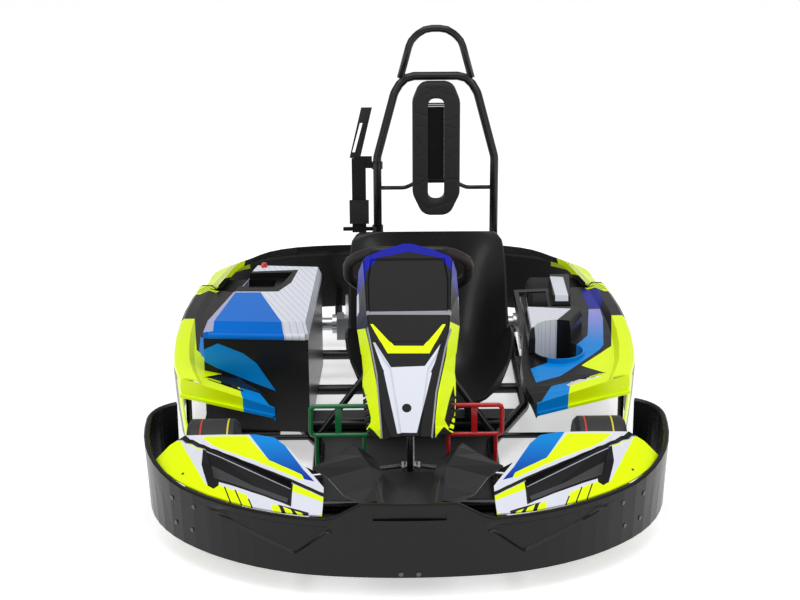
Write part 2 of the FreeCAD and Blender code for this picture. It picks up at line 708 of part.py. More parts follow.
def wing():
    """Left wing: two strips either side of a crease, with a sunk handle."""
    shell, solid = [], []
    depth = V(0, 0, SKIN)
    for angle, front_z, *rest in smooth(WING_STATIONS, 2):
        top = [V(*rest[:3]), V(*rest[3:]), band_inside(angle, front_z, WING_GAP)]
        shell.append(top + [p - depth for p in reversed(top)])
        solid.append(top + [V(p.x, p.y, TRAY_LOW_Z) for p in reversed(top)])
    body = faceted(shell, "strip")
    roof = faceted(solid, "strip")
    lift = [(x, y, z, HANDLE_CUT_Z) for (x, y), z in zip(HANDLE_OUTLINE, HANDLE_FLOOR)]
    wider = grown(HANDLE_OUTLINE, SKIN / 2, 0)
    spread = [(x, y, z - SKIN, HANDLE_CUT_Z) for (x, y, s), z in zip(wider, HANDLE_FLOOR)]
    hole, wall = (faceted([[V(x, y, low) for x, y, low, high in rows],
                           [V(x, y, high) for x, y, low, high in rows]], "fan") for rows in (lift, spread))
    tray = wall.cut(hole).common(roof)
    low = min(HANDLE_FLOOR) - SKIN
    grip = prism([(x, y, low) for x, y in HANDLE_BAR], (0, 0, HANDLE_BAR_Z - low)).common(roof)
    return fuse([body.cut(hole), tray, grip])


def nose():
    """Centre fairing between the wings: two horns rise beside a low channel."""
    main = [
        (FRONT_Y + 27, [(-112, 236), (-80, 240), (-64, 230), (64, 230), (80, 240), (112, 236)]),
        (-850, [(-158, 226), (-84, 246), (-64, 232), (64, 232), (84, 246), (158, 226)]),
        (-745, [(-196, 222), (-92, 252), (-62, 236), (62, 236), (92, 252), (196, 222)]),
    ]
    horn = [
        (-745, [(62, 236), (92, 252), (196, 222)]),
        (-690, [(78, 244), (112, 256), (236, 226)]),
        (-640, [(112, 250), (126, 256), (176, 238)]),
        (-606, [(132, 250), (138, 252), (144, 248)]),
    ]
    left = skin([(y, [(x, z) for x, z in row]) for y, row in horn], SKIN, at_y)
    return fuse([skin(main, SKIN, at_y), left, mirrored(left)])


FAIRING_LOW, FAIRING_HIGH = V(6, -690, 306), V(6, -322, 650)
FAIRING_DIR = (FAIRING_HIGH - FAIRING_LOW).normalize()
FAIRING_NORMAL = V(1, 0, 0).cross(FAIRING_DIR).normalize()


def fairing_point(along, p):
    return FAIRING_LOW + FAIRING_DIR * along + V(p[0], 0, 0) + FAIRING_NORMAL * p[1]


VENT_PITCH = 19.0
SCREEN_DEPTH = 5.0           # the screen lies sunk by this much
VENT_COUNT = 6
FAIRING_LENGTH = 508.0
PEAK_RISE = 36.0


def steering_fairing():
    """Raked instrument fairing: tapered centre panel, sunk screen, side vents."""
    shape = [
        # along, half side, side drop, half plateau, half centre panel, its step
        (0, 64, 20, 52, 21, 5), (8, 74, 30, 54, 21, 5), (28, 106, 46, 60, 24, 5), (60, 112, 54, 70, 28, 5),
        (128, 117, 62, 80, 37, 5), (184, 118, 64, 86, 45, 5),
        (205, 116, 66, 90, 58, 5), (256, 120, 68, 98, 86, 5),
        (262, 122, 68, 100, 88, 0), (338, 132, 78, 106, 94, 0), (345, 133, 80, 107, 98, -SCREEN_DEPTH),
        (440, 132, 86, 112, 100, -SCREEN_DEPTH), (496, 128, 66, 116, 92, -SCREEN_DEPTH),
        (501, 126, 60, 112, 92, 0),
        (FAIRING_LENGTH, 122, 56, 108, 88, 0), (FAIRING_LENGTH + PEAK_RISE / 2, 82, 46, 68, 50, 0),
        (FAIRING_LENGTH + PEAK_RISE, 20, 26, 14, 4, 0),
    ]
    stations = []
    for along, side, drop, top, panel, step in shape:
        half = [(panel, step), (panel + 4, 0), (top - 4, 0), (top, -4), (side, -drop)]
        stations.append((along, [(-a, b) for a, b in half[::-1]] + half))
    shell = skin(stations, SKIN, fairing_point)
    slits = []
    for k in range(VENT_COUNT):
        along = 34 + k * VENT_PITCH
        inner = -92 - 0.12 * along
        corners = [(-150, along), (inner, along), (inner, along + 8), (-150, along + 8)]
        base = [fairing_point(b, (a, -90)) for a, b in corners]
        slit = prism([tuple(p) for p in base], tuple(FAIRING_NORMAL * 120))
        slits += [slit, slit.mirror(FAIRING_LOW, V(1, 0, 0))]
    return shell.cut(Part.makeCompound(slits))


# ---------------------------------------------------------------------------
# Side pods, battery box, rear bumper
# ---------------------------------------------------------------------------
POD_REAR_Y = 470.0
POD_HALF_WIDTH = REAR_TRACK_HALF + 168.0
POD_STATIONS = [
    # y, ridge behind the widest place, ridge z, bottom z
    [-345, 108, 262, 196], [-290, 70, 276, 150], [-235, 46, 284, 96], [-110, 14, 288, 80],
    [70, 0, 300, 80], [270, 7, 308, 80], [POD_REAR_Y, 30, 310, 80],
]
POD_RIDGE_X = [(row[0], POD_HALF_WIDTH - row[1]) for row in POD_STATIONS]
POD_RIDGE_Z = [(row[0], row[2]) for row in POD_STATIONS]


def pod(inner):
    """A side pod: rounded outer rail, shoulder step and the deck inside it."""
    rows = [station + list(edge) for station, edge in zip(POD_STATIONS, inner)]
    stations = []
    for y, behind, zr, zb, xi, zi in smooth(rows, 2):
        xr = POD_HALF_WIDTH - behind
        stations.append((y, [(xi, zi - 22), (xi + 4, zi), (xr - 58, zr - 16), (xr - 44, zr), (xr - 14, zr),
                             (xr - 4, zr - 8), (xr, zr - 26), (xr - 5, zr * 0.5 + zb * 0.5), (xr - 16, zb)]))
    return skin(stations, SKIN, at_y)


BAY_OUTLINE = [(352, 168), (426, 168), (434, 446), (352, 446)]
FRONT_COVER = [(346, -44), (440, -50), (512, 138), (505, 158), (348, 158)]
REAR_COVER = [(434, 236), (488, 236), (506, 452), (442, 452)]
COVER_TOP_Z = 345.0
CUP_X, CUP_Y, CUP_R = 430.0, -30.0, 72.0
CUP_DEPTH = 70.0
PANEL_OUTER, PANEL_INNER = (604, -222), (345, -340)     # ends of the pod's front panel
PANEL_THICK = 4.0
SLOT_OUTLINE = [(536, -196), (438, -246), (430, -232), (470, -204), (532, -184)]


def pod_front(low_z, inner_top, outer_top):
    """The pod's slanting front panel with a lip along its foot."""
    (x0, y0), (x1, y1) = PANEL_OUTER, PANEL_INNER
    back = V(y1 - y0, x0 - x1, 0).normalize()
    face = [(x0, y0, low_z + 14), (x1, y1, low_z), (x1, y1, inner_top), (x0, y0, outer_top)]
    panel = prism(face, tuple(back * PANEL_THICK))
    foot = [(x0, y0, low_z + 14), (x1, y1, low_z), (x1, y1, low_z + 8), (x0, y0, low_z + 22)]
    front = [tuple(V(*p) - back * 9) for p in foot]
    return panel.fuse(prism(front, tuple(back * 11)))


def with_front(shell, inner_top, outer_top):
    """The pod trimmed behind its slanting front panel, which joins it."""
    (x0, y0), (x1, y1) = PANEL_OUTER, PANEL_INNER
    slope = (y0 - y1) / (x0 - x1)
    far = 700.0
    ahead = [(x1 - 60, y1 - 60 * slope), (far, y1 + (far - x1) * slope), (far, -500), (x1 - 60, -500)]
    trimmed = shell.cut(prism([(x, y, 0) for x, y in ahead], (0, 0, 400)))
    slot = prism([(x, y, 200) for x, y in SLOT_OUTLINE], (0, 0, 150))
    return trimmed.cut(slot).fuse(pod_front(214.0, inner_top, outer_top))


def pod_left():
    shell = pod([(345, 226), (335, 240), (322, 250), (318, 262), (335, 285), (335, 286), (335, 286)])
    shell = with_front(shell, 246.0, 281.0)
    recess = rod((CUP_X, CUP_Y, 200), (CUP_X, CUP_Y, 330), CUP_R)
    bay = prism([(x, y, 200) for x, y in BAY_OUTLINE], (0, 0, 200))
    deck_z = 275.0
    cup_low = deck_z + 5 - CUP_DEPTH
    cup = ring((CUP_X, CUP_Y, cup_low), (CUP_X, CUP_Y, deck_z + 5), CUP_R, CUP_R - SKIN)
    floor = rod((CUP_X, CUP_Y, cup_low), (CUP_X, CUP_Y, cup_low + SKIN), CUP_R)
    covers = [tapered(outline, deck_z, COVER_TOP_Z - 25, COVER_TOP_Z, 0.9)
              for outline in (FRONT_COVER, REAR_COVER)]
    well = rod((CUP_X, CUP_Y, cup_low + SKIN), (CUP_X, CUP_Y, COVER_TOP_Z + 10), CUP_R - SKIN)
    return fuse([shell.cut(recess).cut(bay), cup, floor] + covers).cut(well)


def grown(outline, gap, z):
    """An outline spread from its middle by a gap, as 3-D points."""
    cx = sum(p[0] for p in outline) / len(outline)
    cy = sum(p[1] for p in outline) / len(outline)
    result = []
    for x, y in outline:
        size = math.hypot(x - cx, y - cy)
        result.append((x + (x - cx) / size * gap * 2, y + (y - cy) / size * gap * 2, z))
    return result


def pod_right():
    shell = pod([(345, 226), (345, 232), (375, 240), (470, 250), (500, 268), (455, 272), (415, 268)])
    shell = with_front(shell, 240.0, 281.0)
    outline = [(-x, y) for x, y in BOX_OUTLINE]
    return shell.cut(prism(grown(outline, 2 * FIT_GAP, 60), (0, 0, 400)))


BOX_OUTLINE = [(-548, -130), (-262, -150), (-240, 365), (-432, 385)]
LID_HANDLE = [(-476, 292), (-470, 178), (-392, 152), (-352, 178), (-322, 300)]
LID_SLOT = [(-452, 286), (-448, 216), (-372, 216), (-368, 286)]


def battery_box():
    low = FRAME_Z + FRAME_TUBE_R + FIT_GAP
    return prism([(x, y, low) for x, y in BOX_OUTLINE], (0, 0, BOX_TOP_Z - 40 - low))


def tapered(outline, base, edge, top, share):
    """A lid: upright sides to the edge height, then drawn in to the top."""
    cx = sum(p[0] for p in outline) / len(outline)
    cy = sum(p[1] for p in outline) / len(outline)
    low = [V(x, y, base) for x, y in outline]
    waist = [V(x, y, edge) for x, y in outline]
    high = [V(cx + (x - cx) * share, cy + (y - cy) * share, top) for x, y in outline]
    return Part.makeLoft([Part.makePolygon(ring + ring[:1]) for ring in (low, waist, high)], True, True)


def battery_cover():
    """Lid with drawn-in sides, a sunk handle place and a rounded front lip."""
    low = BOX_TOP_Z - 40 + FIT_GAP
    lid = tapered(BOX_OUTLINE, low, BOX_TOP_Z - 22, BOX_TOP_Z + 5, 0.93)
    dish = prism([(x, y, BOX_TOP_Z - 12) for x, y in LID_HANDLE], (0, 0, 40))
    slot = prism([(x, y, BOX_TOP_Z - 30) for x, y in LID_SLOT], (0, 0, 40))
    (x0, y0), (x1, y1) = BOX_OUTLINE[:2]
    lip = rod((x0 + 14, y0 - 2, low + 9), (x1 - 8, y1 - 2, low + 9), 9)
    return fuse([lid, lip]).cut(dish).cut(slot)


def motor():
    base = FRAME_Z + FRAME_TUBE_R + FIT_GAP
    return box(PULLEY_X + PULLEY_HALF + 6, MOTOR_OUTER_X, MOTOR_Y - MOTOR_HALF, MOTOR_Y + MOTOR_HALF,
               base, MOTOR_TOP_Z)


def motor_pulley():
    x = PULLEY_X
    end = PULLEY_X + PULLEY_HALF + 6 - FIT_GAP
    return fuse([rod((x - PULLEY_HALF, MOTOR_Y, MOTOR_Z), (x + PULLEY_HALF, MOTOR_Y, MOTOR_Z), MOTOR_PULLEY_R),
                 rod((x, MOTOR_Y, MOTOR_Z), (end, MOTOR_Y, MOTOR_Z), 12)])


def drive_belt():
    """One fixed loop round both pulleys, clear of the turning one."""
    def loop(r_small, r_big):
        a, b = V(0, MOTOR_Y, MOTOR_Z), V(0, REAR_AXLE_Y, REAR_TYRE_R)
        line = (b - a)
        span = line.Length
        line.normalize()
        side = V(0, -line.z, line.y)
        tilt = math.asin((r_big - r_small) / span)
        edges = []
        ends = []
        for s in (1, -1):
            n = side * (s * math.cos(tilt)) - line * math.sin(tilt)
            ends.append((a + n * r_small, b + n * r_big))
        edges.append(Part.makeLine(ends[0][0], ends[0][1]))
        edges.append(Part.Arc(ends[0][1], b + line * r_big, ends[1][1]).toShape())
        edges.append(Part.makeLine(ends[1][1], ends[1][0]))
        edges.append(Part.Arc(ends[1][0], a - line * r_small, ends[0][0]).toShape())
        return Part.Face(Part.Wire(edges))

    outer = loop(MOTOR_PULLEY_R + FIT_GAP + BELT_THICK, PULLEY_R + FIT_GAP + BELT_THICK)
    inner = loop(MOTOR_PULLEY_R + FIT_GAP, PULLEY_R + FIT_GAP)
    width = 2 * (PULLEY_HALF - 3 - 1)
    band = outer.cut(inner).extrude(V(width, 0, 0))
    band.translate(V(PULLEY_X - width / 2, 0, 0))
    return band


def steering_support():
    """Lower bearing post, upper bearing with its two legs, and fairing stays."""
    z = FRAME_Z + FRAME_TUBE_R + FIT_GAP
    bore = COLUMN_R + RUN_GAP
    low, high = on_column(-COLUMN_LENGTH + 2), on_column(-COLUMN_LENGTH + 14)
    pieces = [Part.makeCylinder(19, 12, low, COLUMN_DIR)]
    pieces.append(prism([(COLUMN_X - 15, SUPPORT_Y - 12, z), (COLUMN_X - 15, SUPPORT_Y + 14, z),
                         (COLUMN_X - 15, low.y + 18, low.z), (COLUMN_X - 15, low.y - 6, low.z)], (30, 0, 0)))
    upper = on_column(-170)
    pieces.append(Part.makeCylinder(20, 20, upper, COLUMN_DIR))
    for sign in (-1, 1):
        foot = (sign * RAIL_FRONT_X, -290, z)
        pieces.append(tube([foot, (sign * RAIL_FRONT_X, -292, z + 50),
                            (COLUMN_X + sign * 16, upper.y + 6, upper.z + 2)], 9, 40))
    normal = FAIRING_NORMAL
    tip = FAIRING_LOW - normal * (SKIN + SCREEN_DEPTH + 1.0)
    direction = WHEEL_UP
    reach = (tip - on_column(-160)).dot(normal) / direction.dot(normal)
    pieces.append(Part.makeCylinder(8, reach - 12, on_column(-160) + direction * 12, direction))
    stay_y = FAIRING_LOW.y + 40
    stay_z = FAIRING_LOW.z + 40 * (FAIRING_HIGH.z - FAIRING_LOW.z) / (FAIRING_HIGH.y - FAIRING_LOW.y)
    stay_top = stay_z - SKIN / math.cos(RAKE) - 9
    pieces.append(rod((COLUMN_X - 4, SUPPORT_Y, z + 14), (COLUMN_X - 4, stay_y, stay_top), 8))
    solid = fuse(pieces)
    return solid.cut(Part.makeCylinder(bore, COLUMN_LENGTH + 20, on_column(-COLUMN_LENGTH - 10), COLUMN_DIR))


REAR_HALF_WIDTH = REAR_TRACK_HALF + 138.0
REAR_PATH = [
    # share of the half width, y, depth of the sloping top, its rise
    (1.0, POD_REAR_Y + FIT_GAP, 66, 46), (0.997, 560, 84, 50), (0.981, 640, 92, 52), (0.962, 725, 112, 50),
    (0.885, 800, 112, 48), (0.745, 868, 84, 44), (0.566, 912, 62, 40),
    (0.324, 937, 52, 36), (0, REAR_Y, 48, 34),
]


def rear_bumper():
    """Wrap-round rear bumper: upright wall with an inward sloping top."""
    rows = smooth(REAR_PATH, 2)
    left = [V(share * REAR_HALF_WIDTH, y, 0) for share, y, d, r in rows]
    path = left + [V(-p.x, p.y, 0) for p in reversed(left[:-1])]
    sizes = [(d, r) for share, y, d, r in rows]
    sizes = sizes + sizes[:-1][::-1]
    loops = []
    for i, (point, (depth, rise)) in enumerate(zip(path, sizes)):
        before = path[max(i - 1, 0)]
        after = path[min(i + 1, len(path) - 1)]
        along = (after - before).normalize()
        if i in (0, len(path) - 1):
            along = V(0, 1, 0) if i == 0 else V(0, -1, 0)
        inward = V(-along.y, along.x, 0)
        profile = [(12, 80), (0, 250), (8, 266), (depth, 266 + rise), (depth + 4, 250 + rise)]
        loop = profile + offset_line(profile, SKIN + 1)[::-1]
        loops.append([point + inward * a + V(0, 0, b) for a, b in loop])
    return faceted(loops)


# ---------------------------------------------------------------------------
# Seat and roll hoop
# ---------------------------------------------------------------------------
SEAT_STATIONS = [
    # y, z, tilt of the section, half width low and high, bolster height
    [-115, 138, 5, 146, 190, 62], [-60, 126, 2, 156, 222, 130], [20, 120, -2, 168, 238, 182],
    [110, 119, -8, 174, 236, 190], [190, 132, -28, 177, 232, 184], [262, 190, -50, 178, 230, 166],
    [312, 290, -64, 177, 229, 130], [345, 400, -71, 172, 228, 84], [368, 480, -75, 158, 220, 38],
    [374, 504, -76, 128, 196, 14],
]


def seat():
    """Bucket seat: flat pan, rolled bolsters and a raked back."""
    across = [k / 7.0 for k in range(-7, 8)]
    stations = []
    for y, z, tilt, low, high, rise in smooth(SEAT_STATIONS, 2):
        profile = [(u * (low + (high - low) * u * u), rise * abs(u) ** 5) for u in across[::-1]]
        stations.append(((y, z, math.radians(tilt)), profile))

    def place(position, p):
        y, z, a = position
        return V(SEAT_X + p[0], y + p[1] * math.sin(a), z + p[1] * math.cos(a))

    return skin(stations, SEAT_WALL, place)


def seat_rails():
    """Two slotted rails under the seat, across the frame's cross tubes."""
    base = FRAME_Z + FRAME_TUBE_R + FIT_GAP
    rails = [box(SEAT_X + s * 110 - 14, SEAT_X + s * 110 + 14, -80, 215, base, base + 17) for s in (-1, 1)]
    return Part.makeCompound(rails)


def roll_hoop():
    x0, x1 = HOOP_X - HOOP_HALF, HOOP_X + HOOP_HALF
    top = HOOP_TOP_Z - HOOP_TUBE_R
    foot = FRAME_Z + FRAME_TUBE_R + FIT_GAP
    y, low, high = HOOP_Y, HOOP_BEND_Z, HOOP_SHOULDER_Z
    hoop = tube([(x0, y, foot), (x0, y, low), (HOOP_X - 122, y, high - 50), (HOOP_X - 92, y, high),
                 (HOOP_X + 92, y, high), (HOOP_X + 122, y, high - 50), (x1, y, low), (x1, y, foot)],
                HOOP_TUBE_R, 60)
    arch = tube([(HOOP_X - 104, y, high - 5), (HOOP_X - 74, y, top - 35), (HOOP_X - 34, y, top),
                 (HOOP_X + 34, y, top), (HOOP_X + 74, y, top - 35), (HOOP_X + 104, y, high - 5)],
                HOOP_TUBE_R - 2, 60)
    rod_z = HEADREST_LOW_Z + 71
    bar = tube([(x0, y, rod_z), (HOOP_X - 90, y, rod_z), (HOOP_X - 50, y - 6, rod_z + 22),
                (HOOP_X + 50, y - 6, rod_z + 22), (HOOP_X + 90, y, rod_z), (x1, y, rod_z)], 6, 40)
    stays = [rod((x, HOOP_Y, 430), (x, FRAME_REAR_Y, foot + 10), 9) for x in (x0, x1)]
    feet = [box(x - 14, x + 14, FRAME_REAR_Y - 15, FRAME_REAR_Y + 15, foot, foot + 24) for x in (x0, x1)]
    return fuse([hoop, arch, bar] + stays + feet)


def headrest():
    y1 = HOOP_Y - HOOP_TUBE_R - FIT_GAP
    y0 = y1 - HEADREST_THICK
    low = HEADREST_LOW_Z
    outline = [(-70, 65), (-70, 345), (-48, 400), (48, 400), (70, 345), (70, 65), (40, 0), (-40, 0)]
    pad = path_wire([(HOOP_X + x, y0, low + z) for x, z in outline], 36)
    opening = [(-24, 44), (-24, 354), (24, 354), (24, 44)]
    slot = path_wire([(HOOP_X + x, y0 - 1, low + z) for x, z in opening], 20)
    body = Part.Face(pad).extrude(V(0, HEADREST_THICK, 0))
    return body.cut(Part.Face(slot).extrude(V(0, HEADREST_THICK + 2, 0)))


def clamp(x, z, half):
    """A clamp round the roll hoop's leg, with room for the tube."""
    inner = HOOP_TUBE_R + FIT_GAP
    return ring((x, HOOP_Y, z - half), (x, HOOP_Y, z + half), inner + 4, inner)


def belt_guide():
    """Slotted shoulder plate on an arm from the hoop's leg."""
    x, y = HOOP_X - HOOP_HALF, HOOP_Y - 4
    z = HOOP_BEND_Z
    plate = prism([(x - 46, y, z + 152), (x - 14, y, z + 152), (x - 50, y, z), (x - 82, y, z)], (0, 6, 0))
    slot = prism([(x - 50, y - 1, z + 106), (x - 42, y - 1, z + 106), (x - 66, y - 1, z + 16),
                  (x - 74, y - 1, z + 16)], (0, 8, 0))
    arm = box(x - 70, x - HOOP_TUBE_R - 3, y, y + 6, z - 32, z + 4)
    return fuse([plate.cut(slot), arm, clamp(x, z - 24, 10)])


def belt_anchor():
    x = HOOP_X - HOOP_HALF
    bar = box(x - 104, x - HOOP_TUBE_R - 3, HOOP_Y - 5, HOOP_Y + 5, 474, 484)
    return fuse([bar, clamp(x, 479, 10)])


def belt_strap():
    """Folded webbing hanging between the guide and the lower anchor."""
    x = HOOP_X - HOOP_HALF
    low = box(x - 76, x - 34, HOOP_Y - 9, HOOP_Y - 5 - FIT_GAP, 470, HOOP_BEND_Z)
    return low


def belt_buckle():
    x = HOOP_X - HOOP_HALF
    shell = box(x - 84, x - 26, HOOP_Y - 20, HOOP_Y - 9 - FIT_GAP, 500, 572)
    return shell


# ---------------------------------------------------------------------------
# Pedals and brake
# ---------------------------------------------------------------------------
def pedal(sign):
    """A looped pedal of round bar; the left one brakes."""
    y = -398
    outer, inner = sign * 250, sign * 96
    loop = tube([(outer, y, 268), (inner, y, 268), (inner, y, 186), (outer, y, 186)], 6, 10, True)
    x0, x1 = sorted((sign * 170, sign * 186))
    strip = box(x0, x1, y - 2, y + 3, 184, 270)
    legs = []
    for x, foot in ((RAIL_FRONT_X, FRAME_Z + FRAME_TUBE_R), (110, FRAME_Z - FRAME_TUBE_R - FIT_GAP)):
        legs.append(rod((sign * x, y + 1, 186), (sign * x, y + 1, foot + FIT_GAP), 5))
    return fuse([loop, strip] + legs)


def brake_caliper():
    y, z = REAR_AXLE_Y - 74, REAR_TYRE_R + 20
    body = box(DISC_X - 30, DISC_X + 30, y - 32, y + 30, z - 34, z + 34)
    foot = box(DISC_X + 12, DISC_X + 30, HOOP_Y - 14, y + 20, FRAME_Z + FRAME_TUBE_R + FIT_GAP, z)
    return fuse([body, foot]).cut(box(DISC_X - 9, DISC_X + 9, y - 20, y + 60, z - 60, z + 60))


def main():
    shapes = {
        "chassis_frame": chassis_frame(),
        "frame_cross_tubes": cross_tubes(),
        "front_axle_beams": front_axle_beams(),
        "floor_tray": floor_tray(),
        "axle_hangers": axle_hangers(),
        "rear_axle": rear_axle(),
        "brake_disc": brake_disc(),
        "drive_pulley": drive_pulley(),
        "steering_wheel": steering_wheel(),
        "steering_column": steering_column(),
        "front_bumper": front_bumper(),
        "front_bumper_corners": Part.makeCompound([bumper_corner(), mirrored(bumper_corner())]),
        "wing_left": wing(),
        "wing_right": mirrored(wing()),
        "nose": nose(),
        "steering_fairing": steering_fairing(),
        "side_pod_left": pod_left(),
        "side_pod_right": mirrored(pod_right()),
        "battery_box": battery_box(),
        "battery_cover": battery_cover(),
        "motor": motor(),
        "motor_pulley": motor_pulley(),
        "drive_belt": drive_belt(),
        "steering_support": steering_support(),
        "seat_rails": seat_rails(),
        "rear_bumper": rear_bumper(),
        "seat": seat(),
        "roll_hoop": roll_hoop(),
        "headrest": headrest(),
        "belt_guide": Part.makeCompound([belt_guide(), belt_anchor()]),
        "belt_strap": belt_strap(),
        "belt_buckle": belt_buckle(),
        "pedal_brake": pedal(1),
        "pedal_accelerator": pedal(-1),
        "brake_caliper": brake_caliper(),
    }
    rear = [rear_wheel(sign) for sign in (-1, 1)]
    shapes["rear_rims"] = Part.makeCompound([rim for rim, tyre in rear])
    shapes["rear_tyres"] = Part.makeCompound([tyre for rim, tyre in rear])
    for side, sign in (("left", 1), ("right", -1)):
        shapes["front_rim_" + side], shapes["front_tyre_" + side] = front_wheel(sign)
        shapes["knuckle_" + side] = knuckle(sign)
        shapes["tie_rod_" + side] = tie_rod(sign)
    for name, shape in shapes.items():
        box_ = shape.BoundBox
        print("%-26s valid %s solids %d vol %.0f  x %.0f %.0f y %.0f %.0f z %.0f %.0f" % (
            name, shape.isValid(), len(shape.Solids), shape.Volume,
            box_.XMin, box_.XMax, box_.YMin, box_.YMax, box_.ZMin, box_.ZMax))
        export(name, shape)


main()
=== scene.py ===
import json
import math

import bmesh
import bpy
from mathutils import Matrix, Vector
from mathutils.bvhtree import BVHTree


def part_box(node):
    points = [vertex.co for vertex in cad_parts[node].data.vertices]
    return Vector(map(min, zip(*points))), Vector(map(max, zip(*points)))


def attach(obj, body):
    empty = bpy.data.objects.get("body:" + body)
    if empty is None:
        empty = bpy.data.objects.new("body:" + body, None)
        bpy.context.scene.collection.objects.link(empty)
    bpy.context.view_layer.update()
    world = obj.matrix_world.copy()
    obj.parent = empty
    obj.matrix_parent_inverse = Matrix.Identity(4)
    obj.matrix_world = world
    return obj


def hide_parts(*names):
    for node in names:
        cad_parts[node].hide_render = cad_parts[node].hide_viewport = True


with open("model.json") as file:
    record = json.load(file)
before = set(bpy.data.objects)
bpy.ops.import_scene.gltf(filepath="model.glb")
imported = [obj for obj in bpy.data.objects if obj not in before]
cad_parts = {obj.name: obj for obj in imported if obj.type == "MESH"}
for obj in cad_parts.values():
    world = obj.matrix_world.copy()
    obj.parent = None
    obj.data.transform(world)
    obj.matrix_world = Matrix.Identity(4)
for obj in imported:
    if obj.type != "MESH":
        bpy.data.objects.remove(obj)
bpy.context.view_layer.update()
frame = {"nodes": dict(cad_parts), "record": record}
NODES = frame["nodes"]

MM = 1000                   # millimetres in a metre
X, Y, Z = (1, 0, 0), (0, 1, 0), (0, 0, 1)
PLAN, FRONT = (X, Y), (X, Z)            # the two directions that an outline is drawn on

# ---------------------------------------------------------------------------
# Colours (linear)
# ---------------------------------------------------------------------------
YELLOW = (0.79, 1.0, 0.0)
WHITE = (0.70, 0.72, 0.80)
SKY = (0.0, 0.24, 0.70)
BLUE = (0.0, 0.15, 0.62)
DEEP = (0.0, 0.004, 0.32)
LILAC = (0.32, 0.30, 0.72)
BLACK = (0.009, 0.009, 0.010)
STRIPE_GREY = (0.30, 0.31, 0.34)
# pale printed lines, and the painted highlight along the wings' ridge
PALE_PRINT_AND_HIGHLIGHT = (0.42, 0.44, 0.50)
GREY = (0.055, 0.056, 0.060)
TEAL = (0.0, 0.20, 0.26)
SCREEN = (0.008, 0.008, 0.009)
# a painted reflection on the battery lid's sloped left side
LID_SIDE_REFLECTION = (0.40, 0.40, 0.58)
RUBBER_BLACK = (0.013, 0.013, 0.0135)
NOSE_BLACK = (0.005, 0.005, 0.0055)
# painted highlight along the nose's ridges
RIDGE_HIGHLIGHT = (0.035, 0.035, 0.038)
FLOOR_WHITE = (0.90, 0.90, 0.90)
STRIPE_RED = (0.60, 0.02, 0.01)
STRIPE_YELLOW = (0.70, 0.62, 0.02)


# ---------------------------------------------------------------------------
# Material building
# ---------------------------------------------------------------------------
PATCH_SCALE = 9.0           # noise for broad patches of colour
FINE_SCALE, FINE_DETAIL = 140.0, 2.0
ROUGHNESS_SPREAD = 0.10
COAT_ROUGHNESS = 0.08
BUMP_DEPTH = 0.001          # m
FINE_LINE = 3               # width of a fine printed line, mm


